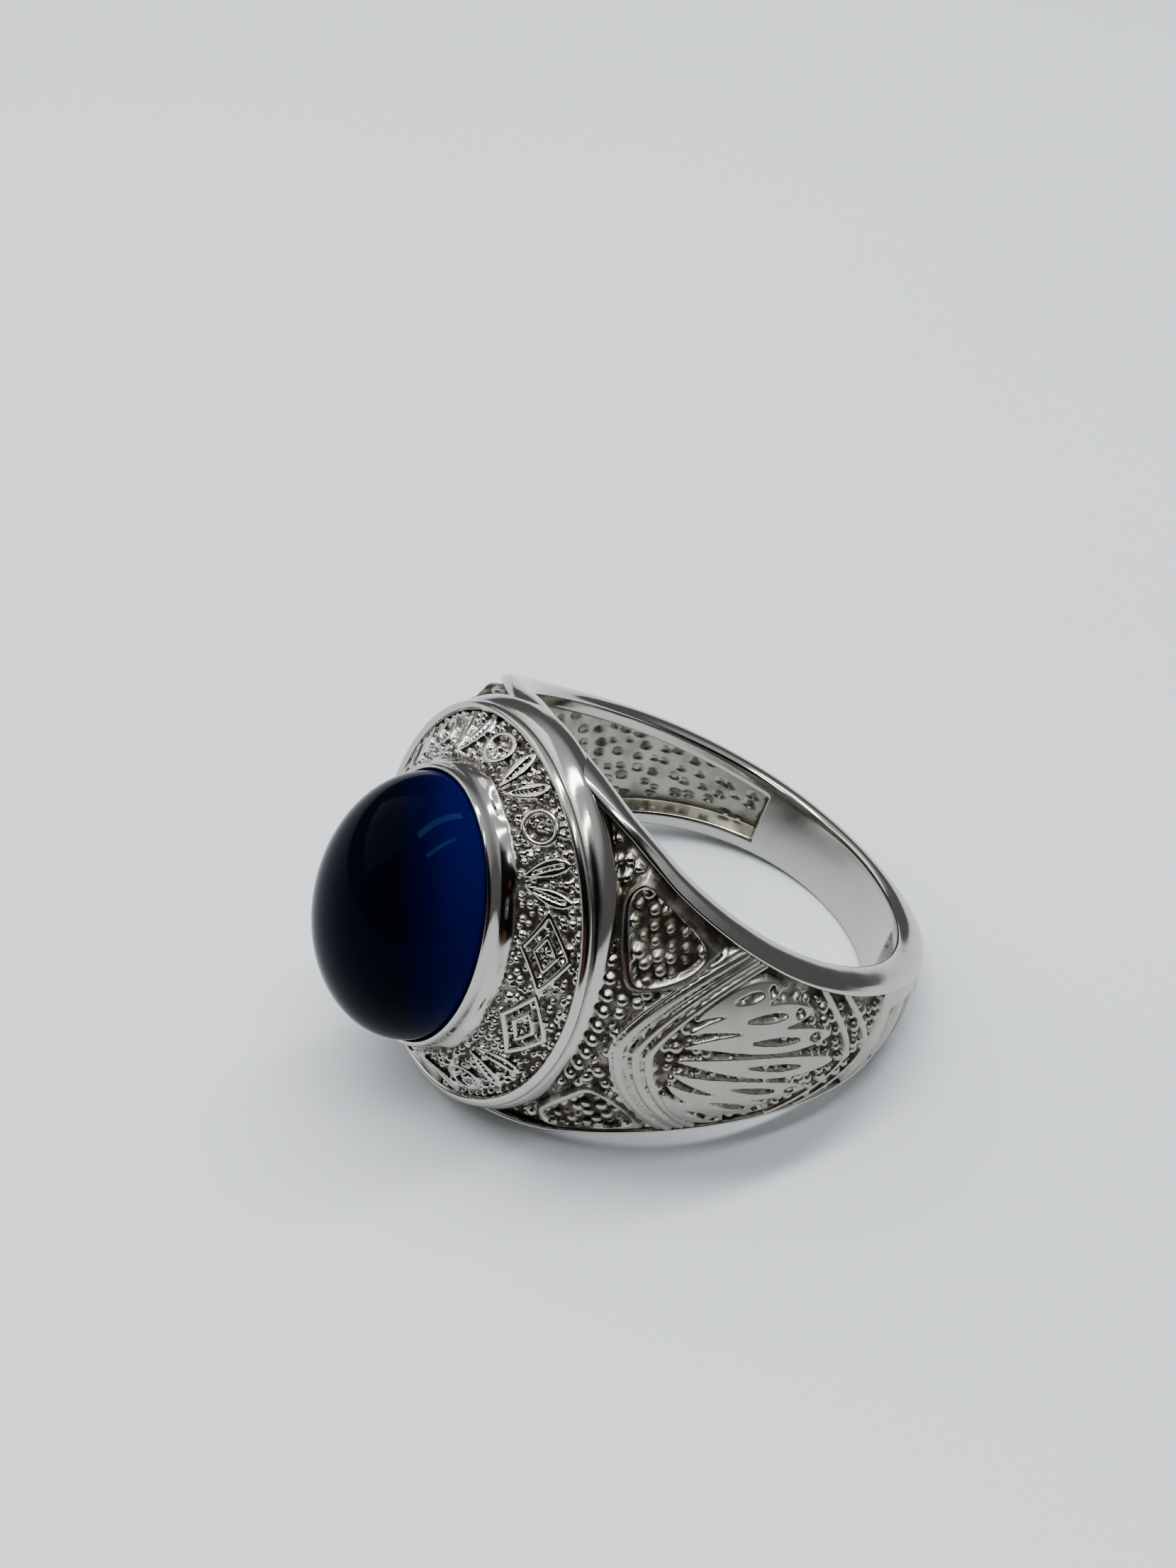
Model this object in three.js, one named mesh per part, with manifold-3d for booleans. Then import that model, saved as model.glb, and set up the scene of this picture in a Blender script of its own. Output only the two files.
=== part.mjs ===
// A class ring: one silver casting that holds an oval cabochon in a smooth bezel.
// While it is modelled, the finger axis is Z, the stone faces -Y and X runs across the head.
// At the end the ring is laid on its side, on the rim of its head and the back of its shank.
// Lengths are millimetres and angles are degrees. A turn is measured round the finger, from the stone.

import * as THREE from 'three';
import { mergeVertices } from 'three/addons/utils/BufferGeometryUtils.js';
import Module from 'manifold-3d';

const wasm = await Module();
wasm.setup();

// Finger hole and shank
const BORE_RADIUS = 9.5;
const RAIL_WALL = 1.3;
const BACK_HALF_WIDTH = 1.75;
const HEAD_EDGE_HALF_WIDTH = 8.62;
const RAIL_FLARE = 0.6;
const RAIL_WIDTH = 0.4;
const RAIL_DOME = 0.2;
const EDGE_ROUND = 0.12;
const SHOULDER_CROWN = 3;
const CROWN_POWER = 2.2;

// Scooped inside
const SCOOP_DEPTH = 0.95;
const SCOOP_LIP = 0.5;
const SCOOP_WALL_SLOPE = 0.4;
const SCOOP_END_TURN = 146;

// Head, rim and panel
const SKIRT_DEPTH = 1.4;
const SKIRT_INSET = 0.36;
const FLANK_BULGE = 0.36;
const RIM_HALF_WIDTH = 8.44;
const RIM_HALF_LENGTH = 8.62;
const RIM_HEIGHT = 11.52;
const RIM_SAG = 0.36;
const RIM_BAND = 0.46;
const RIM_CROWN = 0.1;
const RIM_WIRE_HEIGHT = 0.42;
const RIM_GROOVE = 0.08;
const PANEL_RELIEF = 0.3;

// Bezel and stone
const BEZEL_FOOT_HALF_WIDTH = 5.42;
const BEZEL_FOOT_HALF_LENGTH = 6.52;
const BEZEL_FOOT_HEIGHT = 13.06;
const BEZEL_FLANGE_HEIGHT = 13.3;
const BEZEL_LIP_HEIGHT = 13.93;
const BEZEL_LIP_WALL = 0.18;
const STONE_HALF_WIDTH = 4.86;
const STONE_HALF_LENGTH = 6;
const STONE_GIRDLE_DEPTH = 1.1;
const STONE_DOME = 4.1;
const STONE_GAP = 0.1;

// Relief of the shoulders
const GROUND_DEPTH = 0.34;
const RELIEF_SINK = 0.45;
const RIBBON_HALF_WIDTH = 0.4;
const LINE_HALF_WIDTH = 0.22;
const PETAL_HALF_WIDTH = 0.6;
const RECESS_FIRST_TURN = 14;
const RECESS_LAST_TURN = 106;

// Slots in the back of the shank
const SLOT_FIRST_TURN = 112;
const SLOT_LAST_TURN = 168;
const SLOT_COUNT = 8;
const SLOT_LENGTH = 1.1;
const SLOT_DEPTH = 0.35;
const SLOT_WIDTH_SHARE = 0.6;

// Flats that the ring rests on
const REST_FLAT = 0.08;

// Fineness of the mesh
const SHANK_STATIONS = 54;
const SCOOP_STATIONS = 30;
const HEAD_STATIONS = 44;
const DOME_RINGS = 8;

const FULL_TURN = 360;
const HALF_TURN = FULL_TURN / 2;

// Half width between the back and the head, crown and flare, as shares of their named sizes, by turn
const SHANK_SECTIONS = [
  { turn: 0, width: 1, crown: 0, flare: 0.1 },
  { turn: 15, width: 0.96, crown: 0.06, flare: 0.2 },
  { turn: 30, width: 0.82, crown: 0.45, flare: 0.75 },
  { turn: 38, width: 0.733, crown: 0.84, flare: 0.8 },
  { turn: 45, width: 0.65, crown: 0.86, flare: 0.65 },
  { turn: 60, width: 0.5, crown: 0.6, flare: 0.25 },
  { turn: 75, width: 0.37, crown: 0.41, flare: -0.08 },
  { turn: 90, width: 0.265, crown: 0.27, flare: -0.22 },
  { turn: 105, width: 0.179, crown: 0.18, flare: -0.2 },
  { turn: 120, width: 0.109, crown: 0.13, flare: -0.2 },
  { turn: 135, width: 0.055, crown: 0.11, flare: -0.25 },
  { turn: 150, width: 0.02, crown: 0.1, flare: -0.35 },
  { turn: 165, width: 0.002, crown: 0.1, flare: -0.55 },
  { turn: 180, width: 0, crown: 0.1, flare: -0.7 },
];

// The rail's outer side between the hole and its edge, and how much of the rail's dome it takes
const RAIL_SIDE = [
  { rise: 0.3, dome: 1 },
  { rise: 0.75, dome: 0.8 },
];

// Places across the sunk ground, as shares of the way from the middle to the rail
const GROUND_SHARES = [0.97, 0.55];

// The head's side between the hole's edge and the rim's wire, as shares of that height, of the bulge
// and of the rim's sag
const FLANK_SECTIONS = [
  { height: 0.3, bulge: 0.8, sag: 0.3 },
  { height: 0.6, bulge: 1, sag: 0.7 },
  { height: 0.88, bulge: 0.55, sag: 1 },
  { height: 1, bulge: 0.1, sag: 1 },
];

// The rim's wire, as shares of its width and of its crown
const RIM_SECTIONS = [
  { inset: 0.14, rise: 0 },
  { inset: 0.5, rise: 1 },
  { inset: 0.86, rise: 0 },
];

// Places on a shoulder are a turn, and a height along the finger as a share of the local half width.
// The outer and inner outline of the three-cornered frame, point by point
const FRAME_OUTLINES = [
  { turn: 34.4, share: 0.74, innerTurn: 37, innerShare: 0.76 },
  { turn: 36.2, share: 0.86, innerTurn: 38.1, innerShare: 0.835 },
  { turn: 38.1, share: 0.9, innerTurn: 39.6, innerShare: 0.855 },
  { turn: 43, share: 0.905, innerTurn: 44.1, innerShare: 0.85 },
  { turn: 49, share: 0.9, innerTurn: 49.6, innerShare: 0.835 },
  { turn: 54.6, share: 0.885, innerTurn: 53, innerShare: 0.795 },
  { turn: 58.2, share: 0.86, innerTurn: 53.9, innerShare: 0.755 },
  { turn: 55.6, share: 0.725, innerTurn: 53.2, innerShare: 0.695 },
  { turn: 53.6, share: 0.6, innerTurn: 51.6, innerShare: 0.615 },
  { turn: 50.6, share: 0.48, innerTurn: 48.7, innerShare: 0.525 },
  { turn: 46.2, share: 0.39, innerTurn: 45.4, innerShare: 0.445 },
  { turn: 42.6, share: 0.345, innerTurn: 43.4, innerShare: 0.44 },
  { turn: 39, share: 0.5, innerTurn: 41.3, innerShare: 0.56 },
  { turn: 36.4, share: 0.63, innerTurn: 38.8, innerShare: 0.67 },
];
const RIBBON_ARCH = { apex: 45.8, foot: 62.8 };
const LINE_ARCHES = [
  { apex: 49, foot: 65.6 },
  { apex: 51.4, foot: 67.8 },
  { apex: 97, foot: 84 },
  { apex: 103.5, foot: 91 },
];
const ARCH_FOOT_SHARE = 0.92;
const ARCH_POWER = 1.5;
const ARCH_STEPS = 10;

// Petals of the palmette: tip turn and tip share of each, from its middle to its side
const PALMETTE_ROOT_TURN = 57;
const PETALS = [
  { tipTurn: 92, tipShare: 0, rootShare: 0 },
  { tipTurn: 88, tipShare: 0.42, rootShare: 0.13 },
  { tipTurn: 81.5, tipShare: 0.68, rootShare: 0.25 },
  { tipTurn: 72.5, tipShare: 0.8, rootShare: 0.36 },
];
const PETAL_STEPS = 4;
const PETAL_BEND = 0.8;
const LEAF_FORM = { root: 0.25, lean: 1.3, fullness: 0.7 };

// Motifs of the panel: angles round the oval, from its lengthwise end, and sizes along and across it
const LOZENGE_ANGLES = [70.5, 97.5];
const LOZENGE_HALF_ALONG = 1.62;
const LOZENGE_HALF_ACROSS = 1.05;
const INNER_LOZENGE_SHARE = 0.45;
const MOTIFS_PER_ARC = 7;
const FIRST_MOTIF_ANGLE = -60;
const MOTIF_PITCH = 18;
const MOTIF_HALF_LENGTH = 1;
const ANNULET_RADIUS = 0.68;
const ANNULET_SIDES = 8;
const LEAF_ROOT_OFFSET = 0.2;
const LEAF_SPREAD = 0.5;
const LEAF_HALF_WIDTH = 0.32;
const LEAF_STEPS = 4;
const PANEL_LINE_HALF_WIDTH = 0.17;

const radians = THREE.MathUtils.degToRad;
const degrees = THREE.MathUtils.radToDeg;
const lerp = THREE.MathUtils.lerp;

// Smooth value of one column of a table at a turn, with the slopes of the neighbouring rows
function between(rows, column, turn) {
  const last = rows.length - 1;
  const found = rows.findIndex((row) => row.turn >= turn);
  const i = Math.max(0, Math.min(last - 1, (found < 0 ? last : found) - 1));
  const slope = (k) => {
    if (k === 0 || k === last) return 0;
    return (rows[k + 1][column] - rows[k - 1][column]) / (rows[k + 1].turn - rows[k - 1].turn);
  };
  const span = rows[i + 1].turn - rows[i].turn;
  const t = (turn - rows[i].turn) / span;
  const start = (1 + 2 * t) * (1 - t) ** 2 * rows[i][column] + t * (1 - t) ** 2 * span * slope(i);
  const end = t * t * (3 - 2 * t) * rows[i + 1][column] + t * t * (t - 1) * span * slope(i + 1);
  return start + end;
}

// A turn from 0 at the stone to 180 at the back, on either side
function foldedTurn(turn) {
  const whole = ((turn % FULL_TURN) + FULL_TURN) % FULL_TURN;
  return Math.min(whole, FULL_TURN - whole);
}

function holeHalfWidth(turn) {
  const share = between(SHANK_SECTIONS, 'width', foldedTurn(turn));
  return lerp(BACK_HALF_WIDTH, HEAD_EDGE_HALF_WIDTH, share);
}

function railHalfWidth(turn) {
  return holeHalfWidth(turn) + RAIL_FLARE * between(SHANK_SECTIONS, 'flare', foldedTurn(turn));
}

// Radius of the shoulders' outer surface, which the raised relief reaches
function surfaceRadius(turn, z) {
  const crown = SHOULDER_CROWN * between(SHANK_SECTIONS, 'crown', foldedTurn(turn));
  const share = Math.min(1, Math.abs(z) / railHalfWidth(turn));
  return BORE_RADIUS + RAIL_WALL + crown * (1 - share ** CROWN_POWER);
}

function roundFinger(radius, turn, z) {
  return new THREE.Vector3(radius * Math.sin(radians(turn)), -radius * Math.cos(radians(turn)), z);
}

// A point of the shoulder's surface at a turn and a share of the half width there
function onShoulder(turn, share) {
  const z = share * railHalfWidth(turn);
  return roundFinger(surfaceRadius(turn, z), turn, z);
}

// A closed solid from points and triangles, turned so that its faces point out
function solidFrom(points, triangles) {
  let volume = 0;
  for (const [a, b, c] of triangles) {
    volume += points[a].dot(points[b].clone().cross(points[c]));
  }
  const outward = volume > 0 ? triangles : triangles.map(([a, b, c]) => [a, c, b]);
  const geometry = new THREE.BufferGeometry().setFromPoints(points);
  geometry.setIndex(outward.flat());
  return solid(geometry);
}

// A manifold solid from a closed three.js geometry
function solid(geometry) {
  const bare = geometry.clone();
  bare.deleteAttribute('normal');
  bare.deleteAttribute('uv');
  const merged = mergeVertices(bare, 1e-5);
  return new wasm.Manifold(new wasm.Mesh({
    numProp: 3,
    vertProperties: new Float32Array(merged.attributes.position.array),
    triVerts: new Uint32Array(merged.index.array),
  }));
}

// A solid through rings of as many points each. A loop joins its last ring to its first one.
function loft(rings, isLoop = false) {
  const count = rings[0].length;
  const points = rings.flat();
  const triangles = [];
  const spans = isLoop ? rings.length : rings.length - 1;
  for (let i = 0; i < spans; i += 1) {
    const here = i * count;
    const next = ((i + 1) % rings.length) * count;
    for (let j = 0; j < count; j += 1) {
      const k = (j + 1) % count;
      triangles.push([here + j, here + k, next + k], [here + j, next + k, next + j]);
    }
  }
  if (!isLoop) {
    const centre = (ring) => ring.reduce((sum, p) => sum.add(p), new THREE.Vector3()).divideScalar(count);
    points.push(centre(rings[0]), centre(rings[rings.length - 1]));
    const last = (rings.length - 1) * count;
    for (let j = 0; j < count; j += 1) {
      const k = (j + 1) % count;
      triangles.push([points.length - 2, k, j], [points.length - 1, last + j, last + k]);
    }
  }
  return solidFrom(points, triangles);
}

// Sections of raised bands, as shares of their half width and of their height from the sunk foot
const RIDGE_SECTION = [
  { across: -1, up: 0 },
  { across: 0, up: 1 },
  { across: 1, up: 0 },
];
const FLAT_SECTION = [
  { across: -1, up: 0 },
  { across: -0.8, up: 1 },
  { across: 0.8, up: 1 },
  { across: 1, up: 0 },
];

// The shoulders' surface: the point at a place, the way out of it, and the point under or over another one
const SHOULDER_SURFACE = {
  at: onShoulder,
  outward: (point) => point.clone().setZ(0).normalize(),
  raise(point, height) {
    const turn = degrees(Math.atan2(point.x, -point.y));
    return roundFinger(surfaceRadius(turn, point.z) + height, turn, point.z);
  },
};

// The panel's raised surface, with the same three functions
const PANEL_SURFACE = {
  at: onPanel,
  outward: () => new THREE.Vector3(0, -1, 0),
  raise: (point, height) => point.clone().setY(point.y - height),
};

// A raised band that follows a path on a surface and reaches up to it from below the ground
function band(surface, path, { halfWidth, height, section = FLAT_SECTION, isLoop = false, taper = () => 1 }) {
  const places = path.map((row) => surface.at(row.turn, row.share));
  const rings = path.map((row, i) => {
    const before = places[isLoop ? (i + places.length - 1) % places.length : Math.max(0, i - 1)];
    const after = places[isLoop ? (i + 1) % places.length : Math.min(places.length - 1, i + 1)];
    const side = after.clone().sub(before).cross(surface.outward(places[i])).normalize();
    const half = halfWidth * taper(i / (path.length - 1));
    return section.map(({ across, up }) => surface.raise(
      places[i].clone().addScaledVector(side, across * half), (up - 1) * (height + RELIEF_SINK),
    ));
  });
  return loft(rings, isLoop);
}

// A raised frame between two outlines on the shoulder, on the side and half that the signs give
function frame(acrossSign, alongSign) {
  const rings = FRAME_OUTLINES.map(({ turn, share, innerTurn, innerShare }) => {
    const outer = onShoulder(acrossSign * turn, alongSign * share);
    const inner = onShoulder(acrossSign * innerTurn, alongSign * innerShare);
    return FLAT_SECTION.map(({ across, up }) => SHOULDER_SURFACE.raise(
      outer.clone().lerp(inner, (1 + across) / 2), (up - 1) * (GROUND_DEPTH + RELIEF_SINK),
    ));
  });
  return loft(rings, true);
}

// Section of the shank at a turn, from the hole's lower edge up the inner wall and back down the outside
function shankSection(turn) {
  const folded = foldedTurn(turn);
  const hole = holeHalfWidth(turn);
  const rail = railHalfWidth(turn);
  const railRadius = BORE_RADIUS + RAIL_WALL;
  const isRecessed = folded > RECESS_FIRST_TURN && folded < RECESS_LAST_TURN;
  const depth = isRecessed ? GROUND_DEPTH : 0;
  const upperHalf = [
    { radius: BORE_RADIUS, z: hole - EDGE_ROUND },
    ...RAIL_SIDE.map(({ rise, dome }) => (
      { radius: lerp(BORE_RADIUS, railRadius, rise), z: lerp(hole, rail, rise) + RAIL_DOME * dome }
    )),
    { radius: railRadius, z: rail - EDGE_ROUND },
    { radius: surfaceRadius(turn, rail - RAIL_WIDTH), z: rail - RAIL_WIDTH },
  ];
  for (const share of GROUND_SHARES) {
    const z = share * (rail - RAIL_WIDTH);
    upperHalf.push({ radius: surfaceRadius(turn, z) - depth, z });
  }
  const middle = { radius: surfaceRadius(turn, 0) - depth, z: 0 };
  const lowerHalf = upperHalf.map(({ radius, z }) => ({ radius, z: -z })).reverse();
  return [...upperHalf, middle, ...lowerHalf].map(({ radius, z }) => roundFinger(radius, turn, z));
}

function shank() {
  const rings = [];
  for (let i = 0; i < SHANK_STATIONS; i += 1) {
    rings.push(shankSection((i * FULL_TURN) / SHANK_STATIONS));
  }
  return loft(rings, true);
}

// An oval round the head's axis. It sags towards the finger at the two sides of the head.
function oval(halfWidth, halfLength, height, sag = 0) {
  const points = [];
  for (let i = 0; i < HEAD_STATIONS; i += 1) {
    const around = (i * 2 * Math.PI) / HEAD_STATIONS;
    const y = sag * Math.sin(around) ** 2 - height;
    points.push(new THREE.Vector3(halfWidth * Math.sin(around), y, halfLength * Math.cos(around)));
  }
  return points;
}

function head() {
  const wireFoot = RIM_HEIGHT - RIM_WIRE_HEIGHT;
  const flank = FLANK_SECTIONS.map(({ height, bulge, sag }) => oval(
    RIM_HALF_WIDTH, lerp(HEAD_EDGE_HALF_WIDTH, RIM_HALF_LENGTH, height) + FLANK_BULGE * bulge,
    lerp(BORE_RADIUS, wireFoot, height), RIM_SAG * sag,
  ));
  const rim = (inset, rise) => (
    oval(RIM_HALF_WIDTH - inset, RIM_HALF_LENGTH - inset, RIM_HEIGHT + rise, RIM_SAG)
  );
  const lip = (inset, rise) => (
    oval(STONE_HALF_WIDTH + inset, STONE_HALF_LENGTH + inset, BEZEL_LIP_HEIGHT + rise)
  );
  const lipWidth = STONE_GAP + BEZEL_LIP_WALL;
  return loft([
    oval(RIM_HALF_WIDTH, HEAD_EDGE_HALF_WIDTH - SKIRT_INSET, BORE_RADIUS - SKIRT_DEPTH),
    oval(RIM_HALF_WIDTH, HEAD_EDGE_HALF_WIDTH, BORE_RADIUS),
    ...flank,
    rim(RIM_GROOVE, RIM_GROOVE - RIM_WIRE_HEIGHT),
    rim(0, 2 * RIM_GROOVE - RIM_WIRE_HEIGHT),
    ...RIM_SECTIONS.map(({ inset, rise }) => rim(RIM_BAND * inset, RIM_CROWN * rise)),
    rim(RIM_BAND, -PANEL_RELIEF),
    oval(BEZEL_FOOT_HALF_WIDTH, BEZEL_FOOT_HALF_LENGTH, BEZEL_FOOT_HEIGHT - PANEL_RELIEF),
    lip(lipWidth, BEZEL_FLANGE_HEIGHT - BEZEL_LIP_HEIGHT),
    lip(lipWidth, -BEZEL_LIP_WALL / 2),
    lip(lipWidth - BEZEL_LIP_WALL / 2, 0),
    lip(STONE_GAP, -BEZEL_LIP_WALL / 2),
    lip(STONE_GAP, -STONE_GIRDLE_DEPTH - STONE_GAP),
  ]);
}

// A cylinder along the finger, a little wider than the hole, that keeps the head out of it
function fingerRoom() {
  const radius = BORE_RADIUS + RAIL_WALL / 4;
  const room = new THREE.CylinderGeometry(radius, radius, 4 * HEAD_EDGE_HALF_WIDTH, SHANK_STATIONS);
  room.rotateX(Math.PI / 2);
  return solid(room);
}

// The hollow inside the shoulders and the head, between two narrow lips
function scoop() {
  const rings = [];
  for (let i = 0; i <= SCOOP_STATIONS; i += 1) {
    const turn = lerp(-SCOOP_END_TURN, SCOOP_END_TURN, i / SCOOP_STATIONS);
    const half = holeHalfWidth(turn) - SCOOP_LIP;
    const floorHalf = half - SCOOP_DEPTH * SCOOP_WALL_SLOPE;
    rings.push([
      roundFinger(BORE_RADIUS - SCOOP_DEPTH, turn, -half),
      roundFinger(BORE_RADIUS + SCOOP_DEPTH, turn, -floorHalf),
      roundFinger(BORE_RADIUS + SCOOP_DEPTH, turn, floorHalf),
      roundFinger(BORE_RADIUS - SCOOP_DEPTH, turn, half),
    ]);
  }
  return loft(rings);
}

// An arch across the shoulder: its apex is on the middle line and its feet are on the rails
function archPath({ apex, foot }) {
  const path = [];
  for (let i = 0; i <= ARCH_STEPS; i += 1) {
    const across = lerp(-1, 1, i / ARCH_STEPS);
    path.push({
      turn: lerp(apex, foot, Math.abs(across) ** ARCH_POWER),
      share: ARCH_FOOT_SHARE * across,
    });
  }
  return path;
}

const mirroredAcross = (path) => path.map(({ turn, share }) => ({ turn: -turn, share }));

function petalPath({ tipTurn, tipShare, rootShare }, side) {
  const path = [];
  for (let i = 0; i <= PETAL_STEPS; i += 1) {
    const t = i / PETAL_STEPS;
    path.push({
      turn: lerp(PALMETTE_ROOT_TURN, tipTurn, t),
      share: side * lerp(rootShare, tipShare, t ** PETAL_BEND),
    });
  }
  return path;
}

// Width of a leaf along its length, as a share of its widest
function leafTaper(t) {
  const swell = Math.sin(Math.PI * t ** LEAF_FORM.lean) ** LEAF_FORM.fullness;
  return lerp(LEAF_FORM.root, 1, swell);
}

// Raised work of the shoulder at positive turns, as a list of paths and shapes
function shoulderWork() {
  const work = [];
  const height = GROUND_DEPTH;
  work.push([archPath(RIBBON_ARCH), { halfWidth: RIBBON_HALF_WIDTH, height }]);
  for (const arch of LINE_ARCHES) {
    work.push([archPath(arch), { halfWidth: LINE_HALF_WIDTH, height, section: RIDGE_SECTION }]);
  }
  for (const petal of PETALS) {
    for (const side of petal.tipShare === 0 ? [1] : [1, -1]) {
      work.push([petalPath(petal, side), { halfWidth: PETAL_HALF_WIDTH, height, taper: leafTaper }]);
    }
  }
  return work;
}

function shoulders() {
  const bands = shoulderWork().flatMap(([path, form]) => [
    band(SHOULDER_SURFACE, path, form),
    band(SHOULDER_SURFACE, mirroredAcross(path), form),
  ]);
  const frames = [[1, 1], [1, -1], [-1, 1], [-1, -1]].map(([across, along]) => frame(across, along));
  return [...bands, ...frames];
}

// A point of the panel's raised surface, by the angle round the oval and the share from bezel to rim
function onPanel(angle, share) {
  const around = radians(angle);
  const sag = RIM_SAG * Math.sin(around) ** 2;
  const inner = new THREE.Vector3(
    BEZEL_FOOT_HALF_WIDTH * Math.sin(around), -BEZEL_FOOT_HEIGHT, BEZEL_FOOT_HALF_LENGTH * Math.cos(around),
  );
  const outer = new THREE.Vector3(
    (RIM_HALF_WIDTH - RIM_BAND) * Math.sin(around), sag - RIM_HEIGHT,
    (RIM_HALF_LENGTH - RIM_BAND) * Math.cos(around),
  );
  return inner.lerp(outer, share);
}

// Turns a flat outline, in millimetres along and across the panel, into a path on it
function panelPath(angle, outline) {
  const perDegree = onPanel(angle + 0.5, 0.5).distanceTo(onPanel(angle - 0.5, 0.5));
  const width = onPanel(angle, 1).distanceTo(onPanel(angle, 0));
  return outline.map(({ along, across }) => ({
    turn: angle + along / perDegree,
    share: 0.5 + across / width,
  }));
}

function regularOutline(sides, halfAlong, halfAcross) {
  const outline = [];
  for (let i = 0; i < sides; i += 1) {
    const angle = (i * 2 * Math.PI) / sides;
    outline.push({ along: halfAlong * Math.cos(angle), across: halfAcross * Math.sin(angle) });
  }
  return outline;
}

const panelLoop = (angle, outline, halfWidth) => (
  band(PANEL_SURFACE, panelPath(angle, outline), { halfWidth, height: PANEL_RELIEF, isLoop: true })
);

// Two lozenges, one inside the other
function lozenge(angle) {
  const outline = (share) => regularOutline(4, share * LOZENGE_HALF_ALONG, share * LOZENGE_HALF_ACROSS);
  return [1, INNER_LOZENGE_SHARE].map((share) => panelLoop(angle, outline(share), PANEL_LINE_HALF_WIDTH));
}

// Two leaves that spread from a common root
function leafPair(angle) {
  return [1, -1].map((side) => {
    const outline = [];
    for (let i = 0; i <= LEAF_STEPS; i += 1) {
      const t = i / LEAF_STEPS;
      outline.push({
        along: side * (LEAF_ROOT_OFFSET + LEAF_SPREAD * Math.sin((Math.PI / 2) * t)),
        across: MOTIF_HALF_LENGTH * (2 * t - 1),
      });
    }
    return band(PANEL_SURFACE, panelPath(angle, outline), {
      halfWidth: LEAF_HALF_WIDTH, height: PANEL_RELIEF, taper: leafTaper,
    });
  });
}

const annulet = (angle) => [
  panelLoop(angle, regularOutline(ANNULET_SIDES, ANNULET_RADIUS, ANNULET_RADIUS), PANEL_LINE_HALF_WIDTH),
];

function panelMotifs() {
  const motifs = [];
  for (const half of [0, HALF_TURN]) {
    LOZENGE_ANGLES.forEach((angle) => motifs.push(...lozenge(angle + half)));
    for (let i = 0; i < MOTIFS_PER_ARC; i += 1) {
      const angle = half + FIRST_MOTIF_ANGLE + i * MOTIF_PITCH;
      motifs.push(...(i % 2 === 0 ? leafPair(angle) : annulet(angle)));
    }
  }
  return motifs;
}

// Slots cut across the outside of the shank, near its back
function backSlots() {
  const slots = [];
  for (let i = 0; i < SLOT_COUNT; i += 1) {
    const turn = lerp(SLOT_FIRST_TURN, SLOT_LAST_TURN, i / (SLOT_COUNT - 1));
    const width = 2 * SLOT_WIDTH_SHARE * railHalfWidth(turn);
    for (const side of [1, -1]) {
      const slot = new THREE.BoxGeometry(SLOT_LENGTH, 2 * SLOT_DEPTH, width);
      slot.translate(0, -surfaceRadius(turn, 0), 0);
      slot.rotateZ(radians(side * turn));
      slots.push(solid(slot));
    }
  }
  return slots;
}

function ringBody() {
  const raised = [...shoulders(), ...panelMotifs()].reduce((sum, piece) => sum.add(piece));
  const slots = backSlots().reduce((sum, piece) => sum.add(piece));
  return shank().add(head().subtract(fingerRoom())).add(raised).subtract(scoop()).subtract(slots);
}

// The cabochon: a short upright girdle under an elliptical dome
function cabochon() {
  const rings = [oval(STONE_HALF_WIDTH, STONE_HALF_LENGTH, BEZEL_LIP_HEIGHT - STONE_GIRDLE_DEPTH)];
  for (let i = 0; i < DOME_RINGS; i += 1) {
    const angle = (i * Math.PI) / (2 * DOME_RINGS);
    const size = Math.cos(angle);
    rings.push(oval(STONE_HALF_WIDTH * size, STONE_HALF_LENGTH * size,
      BEZEL_LIP_HEIGHT + STONE_DOME * Math.sin(angle)));
  }
  return loft(rings);
}

function geometryOf(piece) {
  const { numProp, vertProperties, triVerts } = piece.getMesh();
  const geometry = new THREE.BufferGeometry();
  const positions = new THREE.BufferAttribute(new Float32Array(vertProperties), numProp);
  geometry.setAttribute('position', positions);
  geometry.setIndex(new THREE.BufferAttribute(new Uint32Array(triVerts), 1));
  return geometry;
}

// The line that the ring rests on, seen from its side: the edge of the lower outline under the finger axis
function restLine(geometry) {
  const position = geometry.attributes.position;
  const points = [];
  for (let i = 0; i < position.count; i += 1) {
    points.push(new THREE.Vector2(position.getY(i), position.getZ(i)));
  }
  points.sort((a, b) => a.x - b.x || a.y - b.y);
  const outline = [];
  for (const point of points) {
    while (outline.length > 1) {
      const a = outline[outline.length - 2];
      const b = outline[outline.length - 1];
      if (b.clone().sub(a).cross(point.clone().sub(a)) > 0) break;
      outline.pop();
    }
    outline.push(point);
  }
  const end = outline.findIndex((point) => point.x > 0);
  return [outline[end - 1], outline[end]];
}

// Lays a solid of the ring's own frame on its side, on the rest line
function laidDown(piece, [front, back]) {
  const tilt = Math.atan2(back.y - front.y, back.x - front.x);
  const height = front.y * Math.cos(tilt) - front.x * Math.sin(tilt);
  const lay = new THREE.Matrix4().makeRotationX(-tilt);
  lay.premultiply(new THREE.Matrix4().makeTranslation(0, 0, -height - REST_FLAT));
  return solid(geometryOf(piece).applyMatrix4(lay));
}

// Everything below the surface that the ring lies on
function underFloor() {
  const size = 8 * RIM_HALF_LENGTH;
  const floor = new THREE.BoxGeometry(size, size, size);
  floor.translate(0, 0, -size / 2);
  return solid(floor);
}

const silver = new THREE.MeshStandardMaterial({ color: 0xc9c8c4, roughness: 0.2, metalness: 1 });
const blueStone = new THREE.MeshStandardMaterial({ color: 0x0a1470, roughness: 0.05, metalness: 0 });

const uprightBody = ringBody();
const line = restLine(geometryOf(uprightBody));
const bodyGeometry = geometryOf(laidDown(uprightBody, line).subtract(underFloor()));
const stoneGeometry = geometryOf(laidDown(cabochon(), line));

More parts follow.
